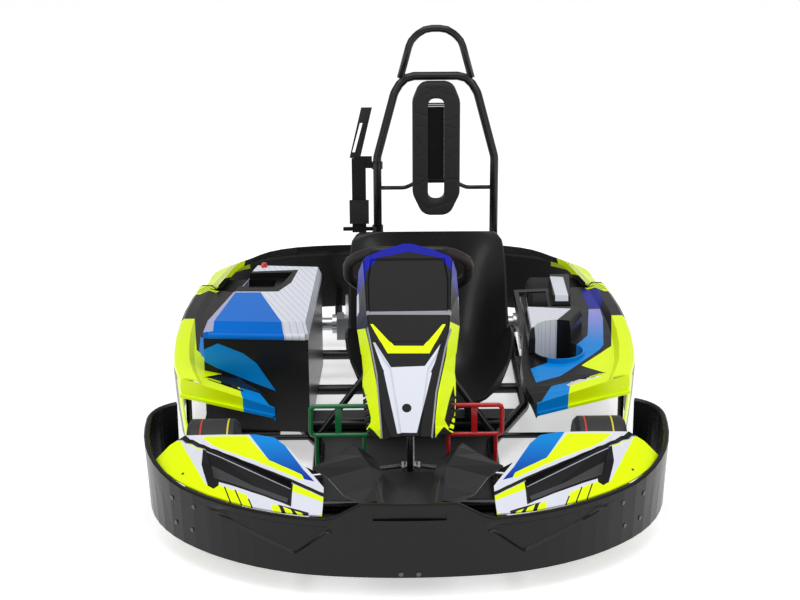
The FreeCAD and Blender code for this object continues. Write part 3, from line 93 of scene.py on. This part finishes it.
class Shader:
    """A node material built from code, read in the kart's own coordinates."""

    def __init__(self, name):
        self.material = bpy.data.materials.new(name)
        self.material.use_nodes = True
        self.tree = self.material.node_tree
        self.bsdf = self.tree.nodes["Principled BSDF"]
        self.place = self.tree.nodes.new("ShaderNodeTexCoord").outputs["Object"]

    def node(self, kind, **settings):
        made = self.tree.nodes.new(kind)
        for key, value in settings.items():
            setattr(made, key, value)
        return made

    def feed(self, socket, value):
        """Give a socket a number, a colour or another node's output."""
        if isinstance(value, bpy.types.NodeSocket):
            self.tree.links.new(value, socket)
        elif isinstance(value, tuple):
            socket.default_value = (*value, 1)
        else:
            socket.default_value = value

    def calculate(self, operation, *values):
        made = self.node("ShaderNodeMath", operation=operation)
        for socket, value in zip(made.inputs, values):
            self.feed(socket, value)
        return made.outputs[0]

    def along(self, direction):
        """Distance along a direction, in metres."""
        made = self.node("ShaderNodeVectorMath", operation="DOT_PRODUCT")
        self.feed(made.inputs[0], self.place)
        made.inputs[1].default_value = direction
        return made.outputs["Value"]

    def noise(self, scale, detail=3.0):
        made = self.node("ShaderNodeTexNoise")
        self.feed(made.inputs["Vector"], self.place)
        self.feed(made.inputs["Scale"], scale)
        self.feed(made.inputs["Detail"], detail)
        return made.outputs["Fac"]

    def ramp(self, value, low, high):
        """0 below low, 1 above high."""
        made = self.node("ShaderNodeMapRange")
        self.feed(made.inputs["Value"], value)
        self.feed(made.inputs["From Min"], low)
        self.feed(made.inputs["From Max"], high)
        return made.outputs["Result"]

    def mix(self, share, first, second):
        """A colour mix; each side is a colour or another node's output."""
        made = self.node("ShaderNodeMix", data_type="RGBA")
        self.feed(made.inputs[0], share)
        colour_sockets = [s for s in made.inputs if s.type == "RGBA"]
        for socket, value in zip(colour_sockets, (first, second)):
            self.feed(socket, value)
        return [s for s in made.outputs if s.type == "RGBA"][0]

    def inside(self, corners, axes):
        """1 within a convex outline in mm, drawn on two directions, else 0."""
        u, v = map(Vector, axes)
        edges = list(zip(corners, corners[1:] + corners[:1]))
        area = sum(x0 * y1 - x1 * y0 for (x0, y0), (x1, y1) in edges)
        turn = 1 if area > 0 else -1
        mask = None
        for (x0, y0), (x1, y1) in edges:
            inward = Vector((y0 - y1, x1 - x0)).normalized() * turn
            direction = u * inward.x + v * inward.y
            limit = (inward.x * x0 + inward.y * y0) / MM
            edge = self.calculate("GREATER_THAN", self.along(direction), limit)
            mask = edge if mask is None else self.calculate("MULTIPLY", mask, edge)
        return mask

    def within_any(self, outlines, axes):
        """1 within any one of several convex outlines."""
        mask = self.inside(outlines[0], axes)
        for outline in outlines[1:]:
            mask = self.calculate("MAXIMUM", mask, self.inside(outline, axes))
        return mask

    def finish(self, colour, roughness, spread=0.06, metallic=0.0, coat=0.0, bump=0.0, bump_scale=400.0,
               specular=0.5):
        """Colour with a slight unevenness, roughness with a slight spread."""
        uneven = self.node("ShaderNodeHueSaturation")
        patch = self.calculate("MULTIPLY", self.noise(PATCH_SCALE), spread)
        self.feed(uneven.inputs["Color"], colour)
        self.feed(uneven.inputs["Value"], self.calculate("ADD", patch, 1.0 - spread / 2))
        self.feed(self.bsdf.inputs["Base Color"], uneven.outputs["Color"])
        fine = self.calculate("MULTIPLY", self.noise(FINE_SCALE, FINE_DETAIL), ROUGHNESS_SPREAD)
        rough = self.calculate("ADD", fine, roughness - ROUGHNESS_SPREAD / 2)
        self.feed(self.bsdf.inputs["Roughness"], rough)
        self.feed(self.bsdf.inputs["Metallic"], metallic)
        self.feed(self.bsdf.inputs["Specular IOR Level"], specular)
        self.feed(self.bsdf.inputs["Coat Weight"], coat)
        self.feed(self.bsdf.inputs["Coat Roughness"], COAT_ROUGHNESS)
        if bump:
            made = self.node("ShaderNodeBump")
            self.feed(made.inputs["Strength"], bump)
            self.feed(made.inputs["Distance"], BUMP_DEPTH)
            self.feed(made.inputs["Height"], self.noise(bump_scale, FINE_DETAIL))
            self.feed(self.bsdf.inputs["Normal"], made.outputs["Normal"])
        return self.material


def plain(name, colour, roughness, **look):
    """A surface of one colour."""
    return Shader(name).finish(colour, roughness, **look)


def livery(name, ground, layers, roughness=0.30, specular=0.12, **look):
    """A printed surface: each layer is (outlines in mm, axes, ink), the last on top.

    The ground and each ink are a colour, or a fade or hatch."""
    shader = Shader(name)
    colour = ground(shader) if callable(ground) else ground
    for outlines, axes, ink in layers:
        if callable(ink):
            ink = ink(shader)
        colour = shader.mix(shader.within_any(outlines, axes), colour, ink)
    return shader.finish(colour, roughness, specular=specular, **look)


def fade(first, second, direction, start, end):
    """A colour that changes from first to second along a direction, over a stretch in mm."""
    def ink(shader):
        return shader.mix(shader.ramp(shader.along(direction), start / MM, end / MM), first, second)
    return ink


def hatch(ground, line, direction, pitch, share):
    """Thin parallel lines on a ground colour, at a pitch in mm."""
    def ink(shader):
        pitches = shader.calculate("DIVIDE", shader.along(direction), pitch / MM)
        on_line = shader.calculate("LESS_THAN", shader.calculate("FRACT", pitches), share)
        return shader.mix(on_line, ground, line)
    return ink


def bar(start, end, width=FINE_LINE):
    """The outline of a straight line with a width."""
    a, b = Vector(start), Vector(end)
    side = (b - a).normalized().orthogonal() * width / 2
    return [tuple(a + side), tuple(b + side), tuple(b - side), tuple(a - side)]


def disc(centre, radius, corners=14):
    """The outline of a round spot."""
    turns = [2 * math.pi * i / corners for i in range(corners)]
    return [(centre[0] + radius * math.cos(t), centre[1] + radius * math.sin(t)) for t in turns]


def mirrored(outlines):
    return [[(-x, y) for x, y in outline] for outline in outlines]


def mirrored_layers(layers):
    return [(mirrored(outlines), axes, ink) for outlines, axes, ink in layers]


def paint(node, material):
    mesh = NODES[node].data
    mesh.materials.clear()
    mesh.materials.append(material)


# ---------------------------------------------------------------------------
# Plain materials
# ---------------------------------------------------------------------------
TYRE_LOOK = {"roughness": 0.55, "bump": 0.12, "bump_scale": 900}

FRAME_STEEL = plain("frame_steel", (0.006, 0.006, 0.0065), 0.26, coat=0.10, bump=0.04, specular=0.35)
MOULDED = plain("moulded_black", (0.005, 0.005, 0.0055), 0.28,
                coat=0.05, bump=0.05, bump_scale=700, specular=0.22)
SATIN = plain("satin_black", (0.007, 0.007, 0.0075), 0.34,
              coat=0.04, bump=0.04, bump_scale=900, specular=0.28)
FOAM = plain("foam_black", (0.014, 0.014, 0.015), 0.60, bump=0.25, bump_scale=1200, specular=0.3)
RUBBER = plain("tyre_rubber", (0.010, 0.010, 0.0105), specular=0.3, **TYRE_LOOK)
ALLOY = plain("cast_alloy", (0.50, 0.51, 0.53), 0.33, metallic=1.0, bump=0.08)
STEEL = plain("bright_steel", (0.42, 0.43, 0.45), 0.25, metallic=1.0)
DISC = plain("ground_disc", (0.36, 0.36, 0.37), 0.32, metallic=1.0)
TRAY = plain("tray_sheet", (0.10, 0.10, 0.105), 0.45, metallic=1.0)
WEB = plain("webbing", (0.008, 0.008, 0.009), 0.75, bump=0.4, bump_scale=1500, specular=0.2)
BAND = plain("slot_band", (0.12, 0.12, 0.125), 0.5)
GREEN = plain("pedal_green", (0.0, 0.20, 0.05), 0.30, coat=0.5)
RED = plain("pedal_red", (0.60, 0.0, 0.004), 0.30, coat=0.5)
MOTOR_GREY = plain("motor_grey", (0.04, 0.04, 0.045), 0.45, specular=0.3)
CALIPER = plain("caliper_metal", (0.28, 0.29, 0.31), 0.35, metallic=1.0)
BOLT = plain("bolt_steel", (0.10, 0.10, 0.11), 0.28, metallic=1.0)
GRIP = plain("grip_sleeve", (0.016, 0.011, 0.009), 0.50, bump=0.3, bump_scale=1400, specular=0.3)

BY_SLOT = {                 # the yellow and white slots are left out: their nodes are printed below
    "frame_steel": FRAME_STEEL, "black_plastic": MOULDED, "seat_plastic": SATIN, "foam_black": FOAM,
    "tyre": RUBBER, "rim": ALLOY, "axle_steel": STEEL, "disc_steel": DISC, "tray": TRAY,
    "webbing": WEB, "green_paint": GREEN, "red_paint": RED, "motor_grey": MOTOR_GREY,
    "rubber": SATIN, "caliper_metal": CALIPER,
}
for part in frame["record"]["subparts"]:
    if part["material_slot"] in BY_SLOT:
        paint(part["node"], BY_SLOT[part["material_slot"]])


# ---------------------------------------------------------------------------
# Printed panels: outlines in mm
# ---------------------------------------------------------------------------
PLASTIC = {"coat": 0.06, "specular": 0.22}     # the look of printed black plastic

# Wings, drawn for the kart's right
WING_LAYERS = [
    # lower strip: white sliver by the recess, then the white inner end with its dashes
    ([[(-569, -582), (-505, -635), (-485, -756), (-493, -754), (-530, -673)],
      [(-390, -767), (-284, -826), (-150, -900), (-261, -912), (-372, -872), (-390, -816)],
      [(-464, -726), (-390, -767), (-390, -816), (-461, -764)]], PLAN, WHITE),
    ([[(-314, -862), (-238, -898), (-241, -908), (-306, -894)]], PLAN, BLACK),
    ([[(-330, -856), (-311, -866), (-303, -888), (-325, -880)],
      [(-301, -870), (-282, -882), (-275, -896), (-293, -890)],
      [(-273, -887), (-256, -896), (-250, -902), (-264, -899)]], PLAN, YELLOW),
    ([bar((-447, -774), (-429, -828)), bar((-420, -792), (-401, -844)),
      bar((-386, -828), (-375, -858))], PLAN, BLACK),
    ([[(-511, -612), (-279, -787), (-281, -874), (-480, -742), (-502, -713), (-510, -682)],
      [(-508, -690), (-462, -700), (-462, -765), (-474, -772), (-489, -758)]], PLAN, BLACK),
    ([[(-487, -676), (-289, -840), (-291, -861), (-474, -733)]], PLAN, GREY),
    # the ridge between the strips: a black band, with a pale line near its lower edge that is a painted
    # highlight
    ([[(-640, -511), (-190, -845), (-190, -862), (-640, -528)]], PLAN, BLACK),
    # a painted highlight: the ridge's edge catching the light
    ([bar((-600, -557), (-200, -853.5), 2.5)], PLAN, PALE_PRINT_AND_HIGHLIGHT),
    # upper strip: white, with the yellow and the blue leaf
    ([[(-640, -511), (-190, -845), (-150, -800), (-150, -450), (-640, -450)]], PLAN, WHITE),
    ([[(-403, -560), (-334, -560), (-258, -729), (-260, -754), (-342, -689)],
      [(-258, -729), (-228, -785), (-253, -774), (-260, -754)]], PLAN,
     fade(DEEP, SKY, Y, start=-790, end=-600)),
    ([[(-516, -578), (-403, -578), (-342, -689), (-382, -684), (-471, -627), (-502, -596)],
      [(-382, -684), (-342, -689), (-260, -754), (-253, -774), (-265, -775), (-308, -742)]], PLAN, YELLOW),
]
paint("wing_left", livery("wing_livery_left", YELLOW, mirrored_layers(WING_LAYERS)))
paint("wing_right", livery("wing_livery_right", YELLOW, WING_LAYERS))

# Fairing: its outlines give x and the distance up the sloping panel from its foot
UP_PANEL = (0, 0.7305, 0.6829)
FOOT = -295.1               # where the foot lies along UP_PANEL, mm
PANEL = (X, UP_PANEL)


def on_panel(*outlines):
    return [[(x, up + FOOT) for x, up in outline] for outline in outlines]


FAIRING_LAYERS = [
    # side panels: yellow, with teal outer edges and black marks
    (on_panel([(-160, 374), (-104, 310), (-93, 249), (-78, 157), (-160, 157)],
              [(-160, 157), (-78, 157), (-69, 79), (-67, 8), (-95, 44), (-160, 128)],
              [(-95, 44), (-118, 30), (-160, 20), (-160, 128)],
              [(170, 371), (112, 320), (99, 221), (170, 221)],
              [(170, 221), (99, 221), (77, 119), (170, 119)],
              [(170, 119), (77, 119), (68, 40), (90, 38)],
              [(68, 40), (68, 4), (90, 38)],
              [(90, 38), (106, 30), (170, 20), (170, 119)]), PANEL, YELLOW),
    (on_panel([(-170, 400), (-133, 374), (-126, 250), (-170, 250)],
              [(170, 400), (148, 371), (137, 250), (170, 250)]), PANEL, TEAL),
    (on_panel([(-111, 167), (-103, 129), (-91, 68), (-92, 55), (-103, 42), (-116, 92)],
              [(118, 163), (121, 129), (119, 87), (103, 40), (92, 55), (104, 111)]), PANEL, BLACK),
    # black frame with its grey rails
    (on_panel(bar((-99, 305), (-76, 171), 4), bar((-76, 171), (-64, 7), 4),
              bar((114, 305), (98, 243), 4), bar((98, 243), (72, 119), 4), bar((72, 119), (59, 0), 4)),
     PANEL, STRIPE_GREY),
    # white middle panel and its arms
    (on_panel([(-58, 176), (-42, 187), (47, 190), (62, 173), (22, 8), (-26, 9)],
              [(-88, 260), (-80, 258), (-38, 184), (-58, 176), (-66, 201)],
              [(95, 258), (88, 255), (43, 187), (62, 173), (70, 200)]), PANEL, WHITE),
    # the yellow V round its black field, the grey line above and the spot below
    (on_panel([(-91, 311), (100, 309), (57, 225), (-48, 226)]), PANEL, YELLOW),
    (on_panel([(-86, 313), (95, 313), (42, 246), (-31, 247)]), PANEL, BLACK),
    (on_panel([(-101, 349), (116, 350), (114, 336), (-101, 338)]), PANEL, STRIPE_GREY),
    (on_panel(disc((-2, 75), 12)), PANEL, BLACK),
    # crown: pale flanks, blue border and the dark screen
    (on_panel([(-200, 374), (-120, 374), (-122, 466), (-200, 466)],
              [(139, 372), (200, 372), (200, 466), (136, 466)]), PANEL,
     fade(WHITE, LILAC, Z, start=560, end=640)),
    (on_panel([(-116, 433), (137, 431), (200, 466), (200, 620), (-200, 620), (-200, 466)]), PANEL, DEEP),
    (on_panel([(-72, 503), (10, 520), (94, 501), (118, 463), (123, 418), (110, 350), (-91, 350),
               (-107, 412), (-101, 463)]), PANEL, SCREEN),
]
paint("steering_fairing", livery("fairing_livery", BLACK, FAIRING_LAYERS))

# Battery box: the hatched lid with its fields, and the leaf on the box's front
LID_LAYERS = [
    ([[(-600, 124), (-406, 122), (-325, -160), (-600, -160)]], PLAN, BLUE),
    # the lid's sloped left side in grey-lavender: a painted reflection
    ([[(-521, -130), (-430, 390), (-660, 390), (-660, -130)]], PLAN, LID_SIDE_REFLECTION),
    ([[(-481, 129), (-356, 127), (-322, 205), (-306, 322), (-445, 310)]], PLAN, BLACK),
]
BOX_LAYERS = [
    ([[(-560, 322), (-509, 346), (-440, 318), (-405, 290), (-352, 207), (-400, 227), (-492, 262),
       (-560, 300)]], FRONT, SKY),
]
LID_GROUND = hatch(WHITE, PALE_PRINT_AND_HIGHLIGHT, direction=(0.94, 0.34, 0), pitch=17, share=0.09)
paint("battery_cover", livery("lid_livery", LID_GROUND, LID_LAYERS))
paint("battery_box", livery("box_livery", BLACK, BOX_LAYERS, **PLASTIC))

# Pods, drawn for the kart's left: the print ends a little below the ridge
POD_LAYERS = [
    ([[(602, 182), (581, -1), (720, -1), (720, 182)],
      [(581, -1), (486, -119), (556, -191), (720, -191), (720, -1)]], PLAN, YELLOW),
    ([[(553, 460), (604, 384), (720, 384), (720, 460)]], PLAN, YELLOW),
    ([bar((601, 400), (557, 470)), bar((612, 400), (568, 470)),
      bar((623, 400), (579, 470))], PLAN, BLACK),
    ([[(556, 262), (900, 285), (900, -50), (556, -50)]], FRONT, BLACK),
    ([[(447, -219), (528, -181), (620, -181), (620, -260), (431, -312)]], PLAN, YELLOW),
    ([[(447, -219), (431, -312), (340, -352), (392, -240)]], PLAN, SKY),
]
LEFT_POD_LAYERS = POD_LAYERS + [
    ([[(551, 460), (588, 401), (592, 317), (580, 281), (549, 283), (539, 407)]], PLAN, DEEP),
    ([[(546, 276), (579, 276), (580, 205), (560, 9), (522, 9), (522, 73)],
      [(522, 73), (560, 9), (546, -23), (485, -100), (440, -60)],
      [(485, -100), (422, -181), (354, -209), (345, -125), (394, -92), (440, -60)]],
     PLAN, fade(SKY, LILAC, Y, start=20, end=260)),
    ([[(444, 240), (482, 240), (482, 414), (443, 421)]], PLAN, WHITE),
    ([[(354, 150), (479, 130), (433, 40), (352, -27)]], PLAN,
     hatch(WHITE, PALE_PRINT_AND_HIGHLIGHT, direction=(0.8, 0.6, 0), pitch=14, share=0.1)),
]
RIGHT_POD_LAYERS = mirrored_layers(POD_LAYERS) + [
    ([[(-578, 90), (-515, 66), (-425, -128), (-420, -175), (-564, -35), (-574, 1)]], PLAN, SKY),
]
paint("side_pod_left", livery("left_pod_livery", BLACK, LEFT_POD_LAYERS, **PLASTIC))
paint("side_pod_right", livery("right_pod_livery", BLACK, RIGHT_POD_LAYERS, **PLASTIC))

# Rear bumper: yellow corners crossed by fine black lines
CORNER = [[(485, 900), (485, 700), (568, 430), (720, 430), (720, 900)]]
CORNER_LINES = []
for shift in (0, 9, 18, 27):
    bend = (500 + shift, 690)
    CORNER_LINES += [bar(bend, (578 + shift, 436)), bar(bend, (484 + shift, 780))]
REAR_LAYERS = [
    (CORNER + mirrored(CORNER), PLAN, YELLOW),
    (CORNER_LINES + mirrored(CORNER_LINES), PLAN, BLACK),
    ([[(-900, 238), (900, 238), (900, -50), (-900, -50)]], FRONT, BLACK),
]
paint("rear_bumper", livery("rear_bumper_livery", BLACK, REAR_LAYERS, **PLASTIC))

# Nose: two fine lighter lines beside its sloping middle, painted highlights along its ridges
RIDGE = [bar((75, -798), (58, -938))]
paint("nose", livery("nose_ridge_highlights", NOSE_BLACK, [(RIDGE + mirrored(RIDGE), PLAN, RIDGE_HIGHLIGHT)],
                     coat=0.06, specular=0.24))

# Front tyres: a fine coloured line on each side of the tread
TREAD_LINE = 4              # mm
PAST_TYRE = 2000            # beyond the tyre at either end, mm


def tyre_material(name, lines):
    """Rubber with lines round the tyre; each line is (x in mm, colour)."""
    layers = [([bar((x, -PAST_TYRE), (x, PAST_TYRE), TREAD_LINE)], PLAN, ink) for x, ink in lines]
    return livery(name, RUBBER_BLACK, layers, specular=0.5, **TYRE_LOOK)


paint("front_tyre_left", tyre_material("tyre_front_left", [(528, STRIPE_YELLOW), (459, STRIPE_RED)]))
paint("front_tyre_right", tyre_material("tyre_front_right", [(-528, STRIPE_RED), (-459, STRIPE_YELLOW)]))


# ---------------------------------------------------------------------------
# Smooth-shaded pieces in place of the plain solids
# ---------------------------------------------------------------------------
MERGE_DISTANCE = 0.00002    # m
SMOOTHED = [                # node, its body, the widest angle in degrees that is shaded smooth
    ("seat", "chassis", 35), ("steering_wheel", "steering", 35), ("roll_hoop", "chassis", 35),
    ("front_bumper", "chassis", 13), ("front_bumper_corners", "chassis", 15),
    ("rear_bumper", "chassis", 16),
]


def own_copy(node, name):
    """A piece of the scene's own with a node's mesh, without the marks of a CAD node."""
    piece = NODES[node].copy()
    piece.data = NODES[node].data.copy()
    piece.name = name
    for key in [k for k in piece.keys() if k.startswith("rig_")]:
        del piece[key]
    bpy.context.scene.collection.objects.link(piece)
    return piece


def smooth_copy(node, body, angle):
    """The node's own form with its gentle facets shaded smooth."""
    piece = own_copy(node, node + "_smooth")
    form = bmesh.new()
    form.from_mesh(piece.data)
    bmesh.ops.remove_doubles(form, verts=form.verts, dist=MERGE_DISTANCE)
    form.to_mesh(piece.data)
    form.free()
    piece.data.shade_smooth()
    piece.data.set_sharp_from_angle(angle=math.radians(angle))
    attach(piece, body)
    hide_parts(node)
    return piece


smooth = {node: smooth_copy(node, body, angle) for node, body, angle in SMOOTHED}

# Grip sleeves round the upper part of the steering wheel's rim
GRIP_FROM_MIDDLE = 0.095    # m to each side of the wheel's middle
GRIP_BELOW_TOP = 0.13       # m down from the wheel's top

wheel_low, wheel_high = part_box("steering_wheel")
wheel_middle = (wheel_low.x + wheel_high.x) / 2
grip_low = wheel_high.z - GRIP_BELOW_TOP
wheel = smooth["steering_wheel"].data
wheel.materials.append(GRIP)
for face in wheel.polygons:
    if abs(face.center.x - wheel_middle) > GRIP_FROM_MIDDLE and face.center.z > grip_low:
        face.material_index = len(wheel.materials) - 1


# ---------------------------------------------------------------------------
# New pieces from points and faces
# ---------------------------------------------------------------------------
def added(name, data):
    """A new object for this data, in the scene."""
    made = bpy.data.objects.new(name, data)
    bpy.context.scene.collection.objects.link(made)
    return made


def joined(name, pieces, material, body):
    """One piece from several (points in metres, faces), riding on a body."""
    points, faces = [], []
    for some, more in pieces:
        start = len(points)
        points += [tuple(p) for p in some]
        faces += [tuple(start + i for i in face) for face in more]
    mesh = bpy.data.meshes.new(name)
    mesh.from_pydata(points, [], faces)
    mesh.materials.append(material)
    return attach(added(name, mesh), body)


def block(low, high):
    """A box between two corners in mm."""
    (x0, y0, z0), (x1, y1, z1) = [[c / MM for c in corner] for corner in (low, high)]
    points = [(x, y, z) for z in (z0, z1) for x, y in ((x0, y0), (x1, y0), (x1, y1), (x0, y1))]
    return points, [(3, 2, 1, 0), (4, 5, 6, 7), (0, 1, 5, 4), (1, 2, 6, 5), (2, 3, 7, 6), (3, 0, 4, 7)]


# ---------------------------------------------------------------------------
# Headrest: a foam pad with pressed lines, and the strap across its slot
# ---------------------------------------------------------------------------
headrest_low, headrest_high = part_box("headrest")
HEADREST_X = round((headrest_low.x + headrest_high.x) / 2 * MM)
PRESSED = [                 # pressed lines on the pad's front: from and to, x and z in mm
    ((-35, 924), (50, 896)), ((-63, 886), (16, 924)), ((-60, 849), (-28, 837)), ((-60, 805), (-28, 809)),
    ((-61, 777), (-32, 728)), ((-61, 714), (-32, 728)), ((-61, 656), (-28, 652)), ((-61, 624), (-32, 645)),
    ((24, 823), (60, 831)), ((24, 811), (60, 798)), ((24, 759), (60, 779)), ((26, 701), (60, 730)),
    ((24, 647), (60, 645)), ((-32, 552), (57, 584)), ((-66, 591), (-18, 552)),
]
PRESS_DEPTH = 0.0022        # m
PRESS_HALF = 3.2            # half a line's width, mm
FRONT_LAYER = 0.006         # how far behind its foremost point the pad's front reaches, m
PAD_VOXEL = 0.0035          # m
PAD_RELAX, PAD_ROUNDS = 0.5, 9          # share of the way each round moves a point, and the rounds
STRAP_HALF = 23.7           # half the strap's width, mm; so are the sizes below
STRAP_Y, STRAP_Z = (462, 465), (638, 858)
BAND_Y, BAND_HEIGHT = (460.5, 466), 4
BAND_FEET = (860, 866)


def line_distance(point, start, end):
    """How far a point lies from the stretch between two others."""
    along = (end - start).normalized()
    reach = max(0.0, min((end - start).length, (point - start).dot(along)))
    return (point - start - along * reach).length


def soften(piece):
    """Swap the piece's mesh for an even one with rounded edges."""
    remesh = piece.modifiers.new("voxels", "REMESH")
    remesh.mode = "VOXEL"
    remesh.voxel_size = PAD_VOXEL
    relax = piece.modifiers.new("relax", "SMOOTH")
    relax.factor = PAD_RELAX
    relax.iterations = PAD_ROUNDS
    bpy.context.view_layer.update()
    finished = piece.evaluated_get(bpy.context.evaluated_depsgraph_get())
    softened = bpy.data.meshes.new_from_object(finished)
    piece.modifiers.clear()
    piece.data = softened


def press_lines(mesh):
    """Sink the pressed lines in the pad's front."""
    lines = [(Vector(start), Vector(end)) for start, end in PRESSED]
    front = min(v.co.y for v in mesh.vertices)
    for vertex in mesh.vertices:
        if vertex.co.y > front + FRONT_LAYER:
            continue
        place = Vector((vertex.co.x * MM - HEADREST_X, vertex.co.z * MM))
        near = min(line_distance(place, start, end) for start, end in lines)
        if near < PRESS_HALF:
            vertex.co.y += PRESS_DEPTH * 0.5 * (1 + math.cos(math.pi * near / PRESS_HALF))


def across_slot(y_span, z_span):
    """A flat piece as wide as the strap, between two y and two z in mm."""
    (front, back), (foot, top) = y_span, z_span
    return block((HEADREST_X - STRAP_HALF, front, foot), (HEADREST_X + STRAP_HALF, back, top))


pad = own_copy("headrest", "headrest_pad")
soften(pad)
press_lines(pad.data)
pad.data.materials.clear()
pad.data.materials.append(FOAM)
pad.data.shade_smooth()
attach(pad, "chassis")
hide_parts("headrest")

joined("slot_strap", [across_slot(STRAP_Y, STRAP_Z)], WEB, "chassis")
bands = [across_slot(BAND_Y, (foot, foot + BAND_HEIGHT)) for foot in BAND_FEET]
joined("slot_bands", bands, BAND, "chassis")


# ---------------------------------------------------------------------------
# Fasteners and small fittings, set on the surfaces they hold
# ---------------------------------------------------------------------------
HEAD_SIDES = 18
HEAD_ROWS = [(1.0, 0.0), (1.0, 0.55), (0.72, 0.92)]     # shares of a head's radius and height
KART_MIDDLE = Vector((0, 0, 0.15))      # heads face away from here, m


def button(place, normal, radius, height):
    """A low domed head standing on a surface; sizes in mm."""
    turn = Vector(normal).to_track_quat("Z", "Y").to_matrix()
    steps = [2 * math.pi * i / HEAD_SIDES for i in range(HEAD_SIDES)]
    points = []
    for share, rise in HEAD_ROWS:
        for t in steps:
            spot = Vector((share * radius * math.cos(t), share * radius * math.sin(t), rise * height))
            points.append(place + turn @ (spot / MM))
    points.append(place + turn @ Vector((0, 0, height / MM)))
    top = (len(HEAD_ROWS) - 1) * HEAD_SIDES
    faces = [tuple(range(HEAD_SIDES - 1, -1, -1))]
    for i in range(HEAD_SIDES):
        after = (i + 1) % HEAD_SIDES
        faces += [(row + i, row + after, row + HEAD_SIDES + after, row + HEAD_SIDES + i)
                  for row in range(0, top, HEAD_SIDES)]
        faces.append((top + i, top + after, len(points) - 1))
    return points, faces


def fastened(name, node, spots, radius, height):
    """Bolt heads on the node's surface, at the points of it nearest to the spots."""
    mesh = NODES[node].data
    faces = [tuple(f.vertices) for f in mesh.polygons]
    surface = BVHTree.FromPolygons([v.co for v in mesh.vertices], faces)
    heads = []
    for spot in spots:
        place, normal, _, _ = surface.find_nearest(Vector(spot) / MM)
        if normal.dot(place - KART_MIDDLE) < 0:
            normal = -normal
        heads.append(button(place, normal, radius, height))
    joined(name, heads, BOLT, "chassis")


def both_sides(*spots):
    return [(sign * x, y, z) for sign in (-1, 1) for x, y, z in spots]


FASTENERS = [               # name, node, spots near its surface, a head's radius and height, all in mm
    ("corner_bolts", "front_bumper_corners", both_sides((582, -711, 158), (574, -722, 96)), 6.5, 3),
    ("bumper_bolts", "front_bumper", both_sides((524, -774, 162), (530, -768, 98), (21, -945, 62)), 6.0, 3),
    ("fairing_screws", "steering_fairing", [(-24, -310, 650), (40, -310, 650)], 3.2, 1.6),
    ("wing_screws_left", "wing_left", [(556, -690, 212), (236, -880, 205)], 3.5, 1.8),
    ("wing_screws_right", "wing_right", [(-556, -690, 212), (-236, -880, 205)], 3.5, 1.8),
]
for fastener in FASTENERS:
    fastened(*fastener)

# The knob on the battery's lid
KNOB_X, KNOB_Y = -0.408, 0.352          # m
KNOB_RADIUS, KNOB_HEIGHT = 9, 13        # mm
LID_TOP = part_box("battery_cover")[1].z
knob = button(Vector((KNOB_X, KNOB_Y, LID_TOP)), Z, KNOB_RADIUS, KNOB_HEIGHT)
joined("lid_knob", [knob], RED, "chassis")


# ---------------------------------------------------------------------------
# Floor, light and camera
# ---------------------------------------------------------------------------
FLOOR_HALF = 30.0           # m
FLOOR_DROP = 0.0005         # keeps the floor just under the tyres, m
FLOOR_GLOW = 0.50           # a weak emission that keeps the floor pale
WORLD_STRENGTH = 0.52
LIGHTS = [                  # name, place, target, width and height in metres, power in watts
    ("top_soft", (0.0, -0.4, 3.6), (0, 0, 0.2), (3.0, 3.0), 62),
    ("left_soft", (3.4, -2.6, 2.2), (0, 0, 0.3), (1.6, 1.8), 30),
    ("right_soft", (-3.4, -2.6, 2.2), (0, 0, 0.3), (1.6, 1.8), 27),
]

floor_corners = [(x * FLOOR_HALF, y * FLOOR_HALF, 0) for x, y in ((-1, -1), (1, -1), (1, 1), (-1, 1))]
floor_mesh = bpy.data.meshes.new("floor")
floor_mesh.from_pydata(floor_corners, [], [(0, 1, 2, 3)])
floor = added("floor", floor_mesh)
floor.location.z = -FLOOR_DROP
floor_shader = Shader("floor_white")
floor_shader.feed(floor_shader.bsdf.inputs["Emission Color"], (1, 1, 1))
floor_shader.feed(floor_shader.bsdf.inputs["Emission Strength"], FLOOR_GLOW)
floor_mesh.materials.append(floor_shader.finish(FLOOR_WHITE, 0.80, spread=0.02))

world = bpy.data.worlds.new("studio")
bpy.context.scene.world = world
world.use_nodes = True
background = world.node_tree.nodes["Background"]
background.inputs["Color"].default_value = (1, 1, 1, 1)
background.inputs["Strength"].default_value = WORLD_STRENGTH


def area_light(name, place, target, size, power):
    data = bpy.data.lights.new(name, "AREA")
    data.shape = "RECTANGLE"
    data.size, data.size_y = size
    data.energy = power
    made = added(name, data)
    made.location = place
    made.rotation_euler = (Vector(target) - Vector(place)).to_track_quat("-Z", "Y").to_euler()


for light in LIGHTS:
    area_light(*light)

CAMERA_PLACE = Vector((-0.0598, -4.9893, 2.1636))     # m
CAMERA_YAW, CAMERA_PITCH, CAMERA_ROLL = 0.5604, 19.2543, -0.2921    # degrees
CAMERA_LENS, CAMERA_SENSOR = 85.62, 36.0       # mm
CAMERA_REACH = 100.0        # m

camera_data = bpy.data.cameras.new("camera")
camera_data.lens = CAMERA_LENS
camera_data.sensor_width = CAMERA_SENSOR
camera_data.clip_end = CAMERA_REACH
camera = added("camera", camera_data)
camera.matrix_world = (
    Matrix.Translation(CAMERA_PLACE)
    @ Matrix.Rotation(math.radians(-CAMERA_YAW), 4, "Z")
    @ Matrix.Rotation(math.radians(90 - CAMERA_PITCH), 4, "X")
    @ Matrix.Rotation(math.radians(CAMERA_ROLL), 4, "Z")
)
bpy.context.scene.camera = camera
bpy.context.scene.view_settings.view_transform = "Standard"
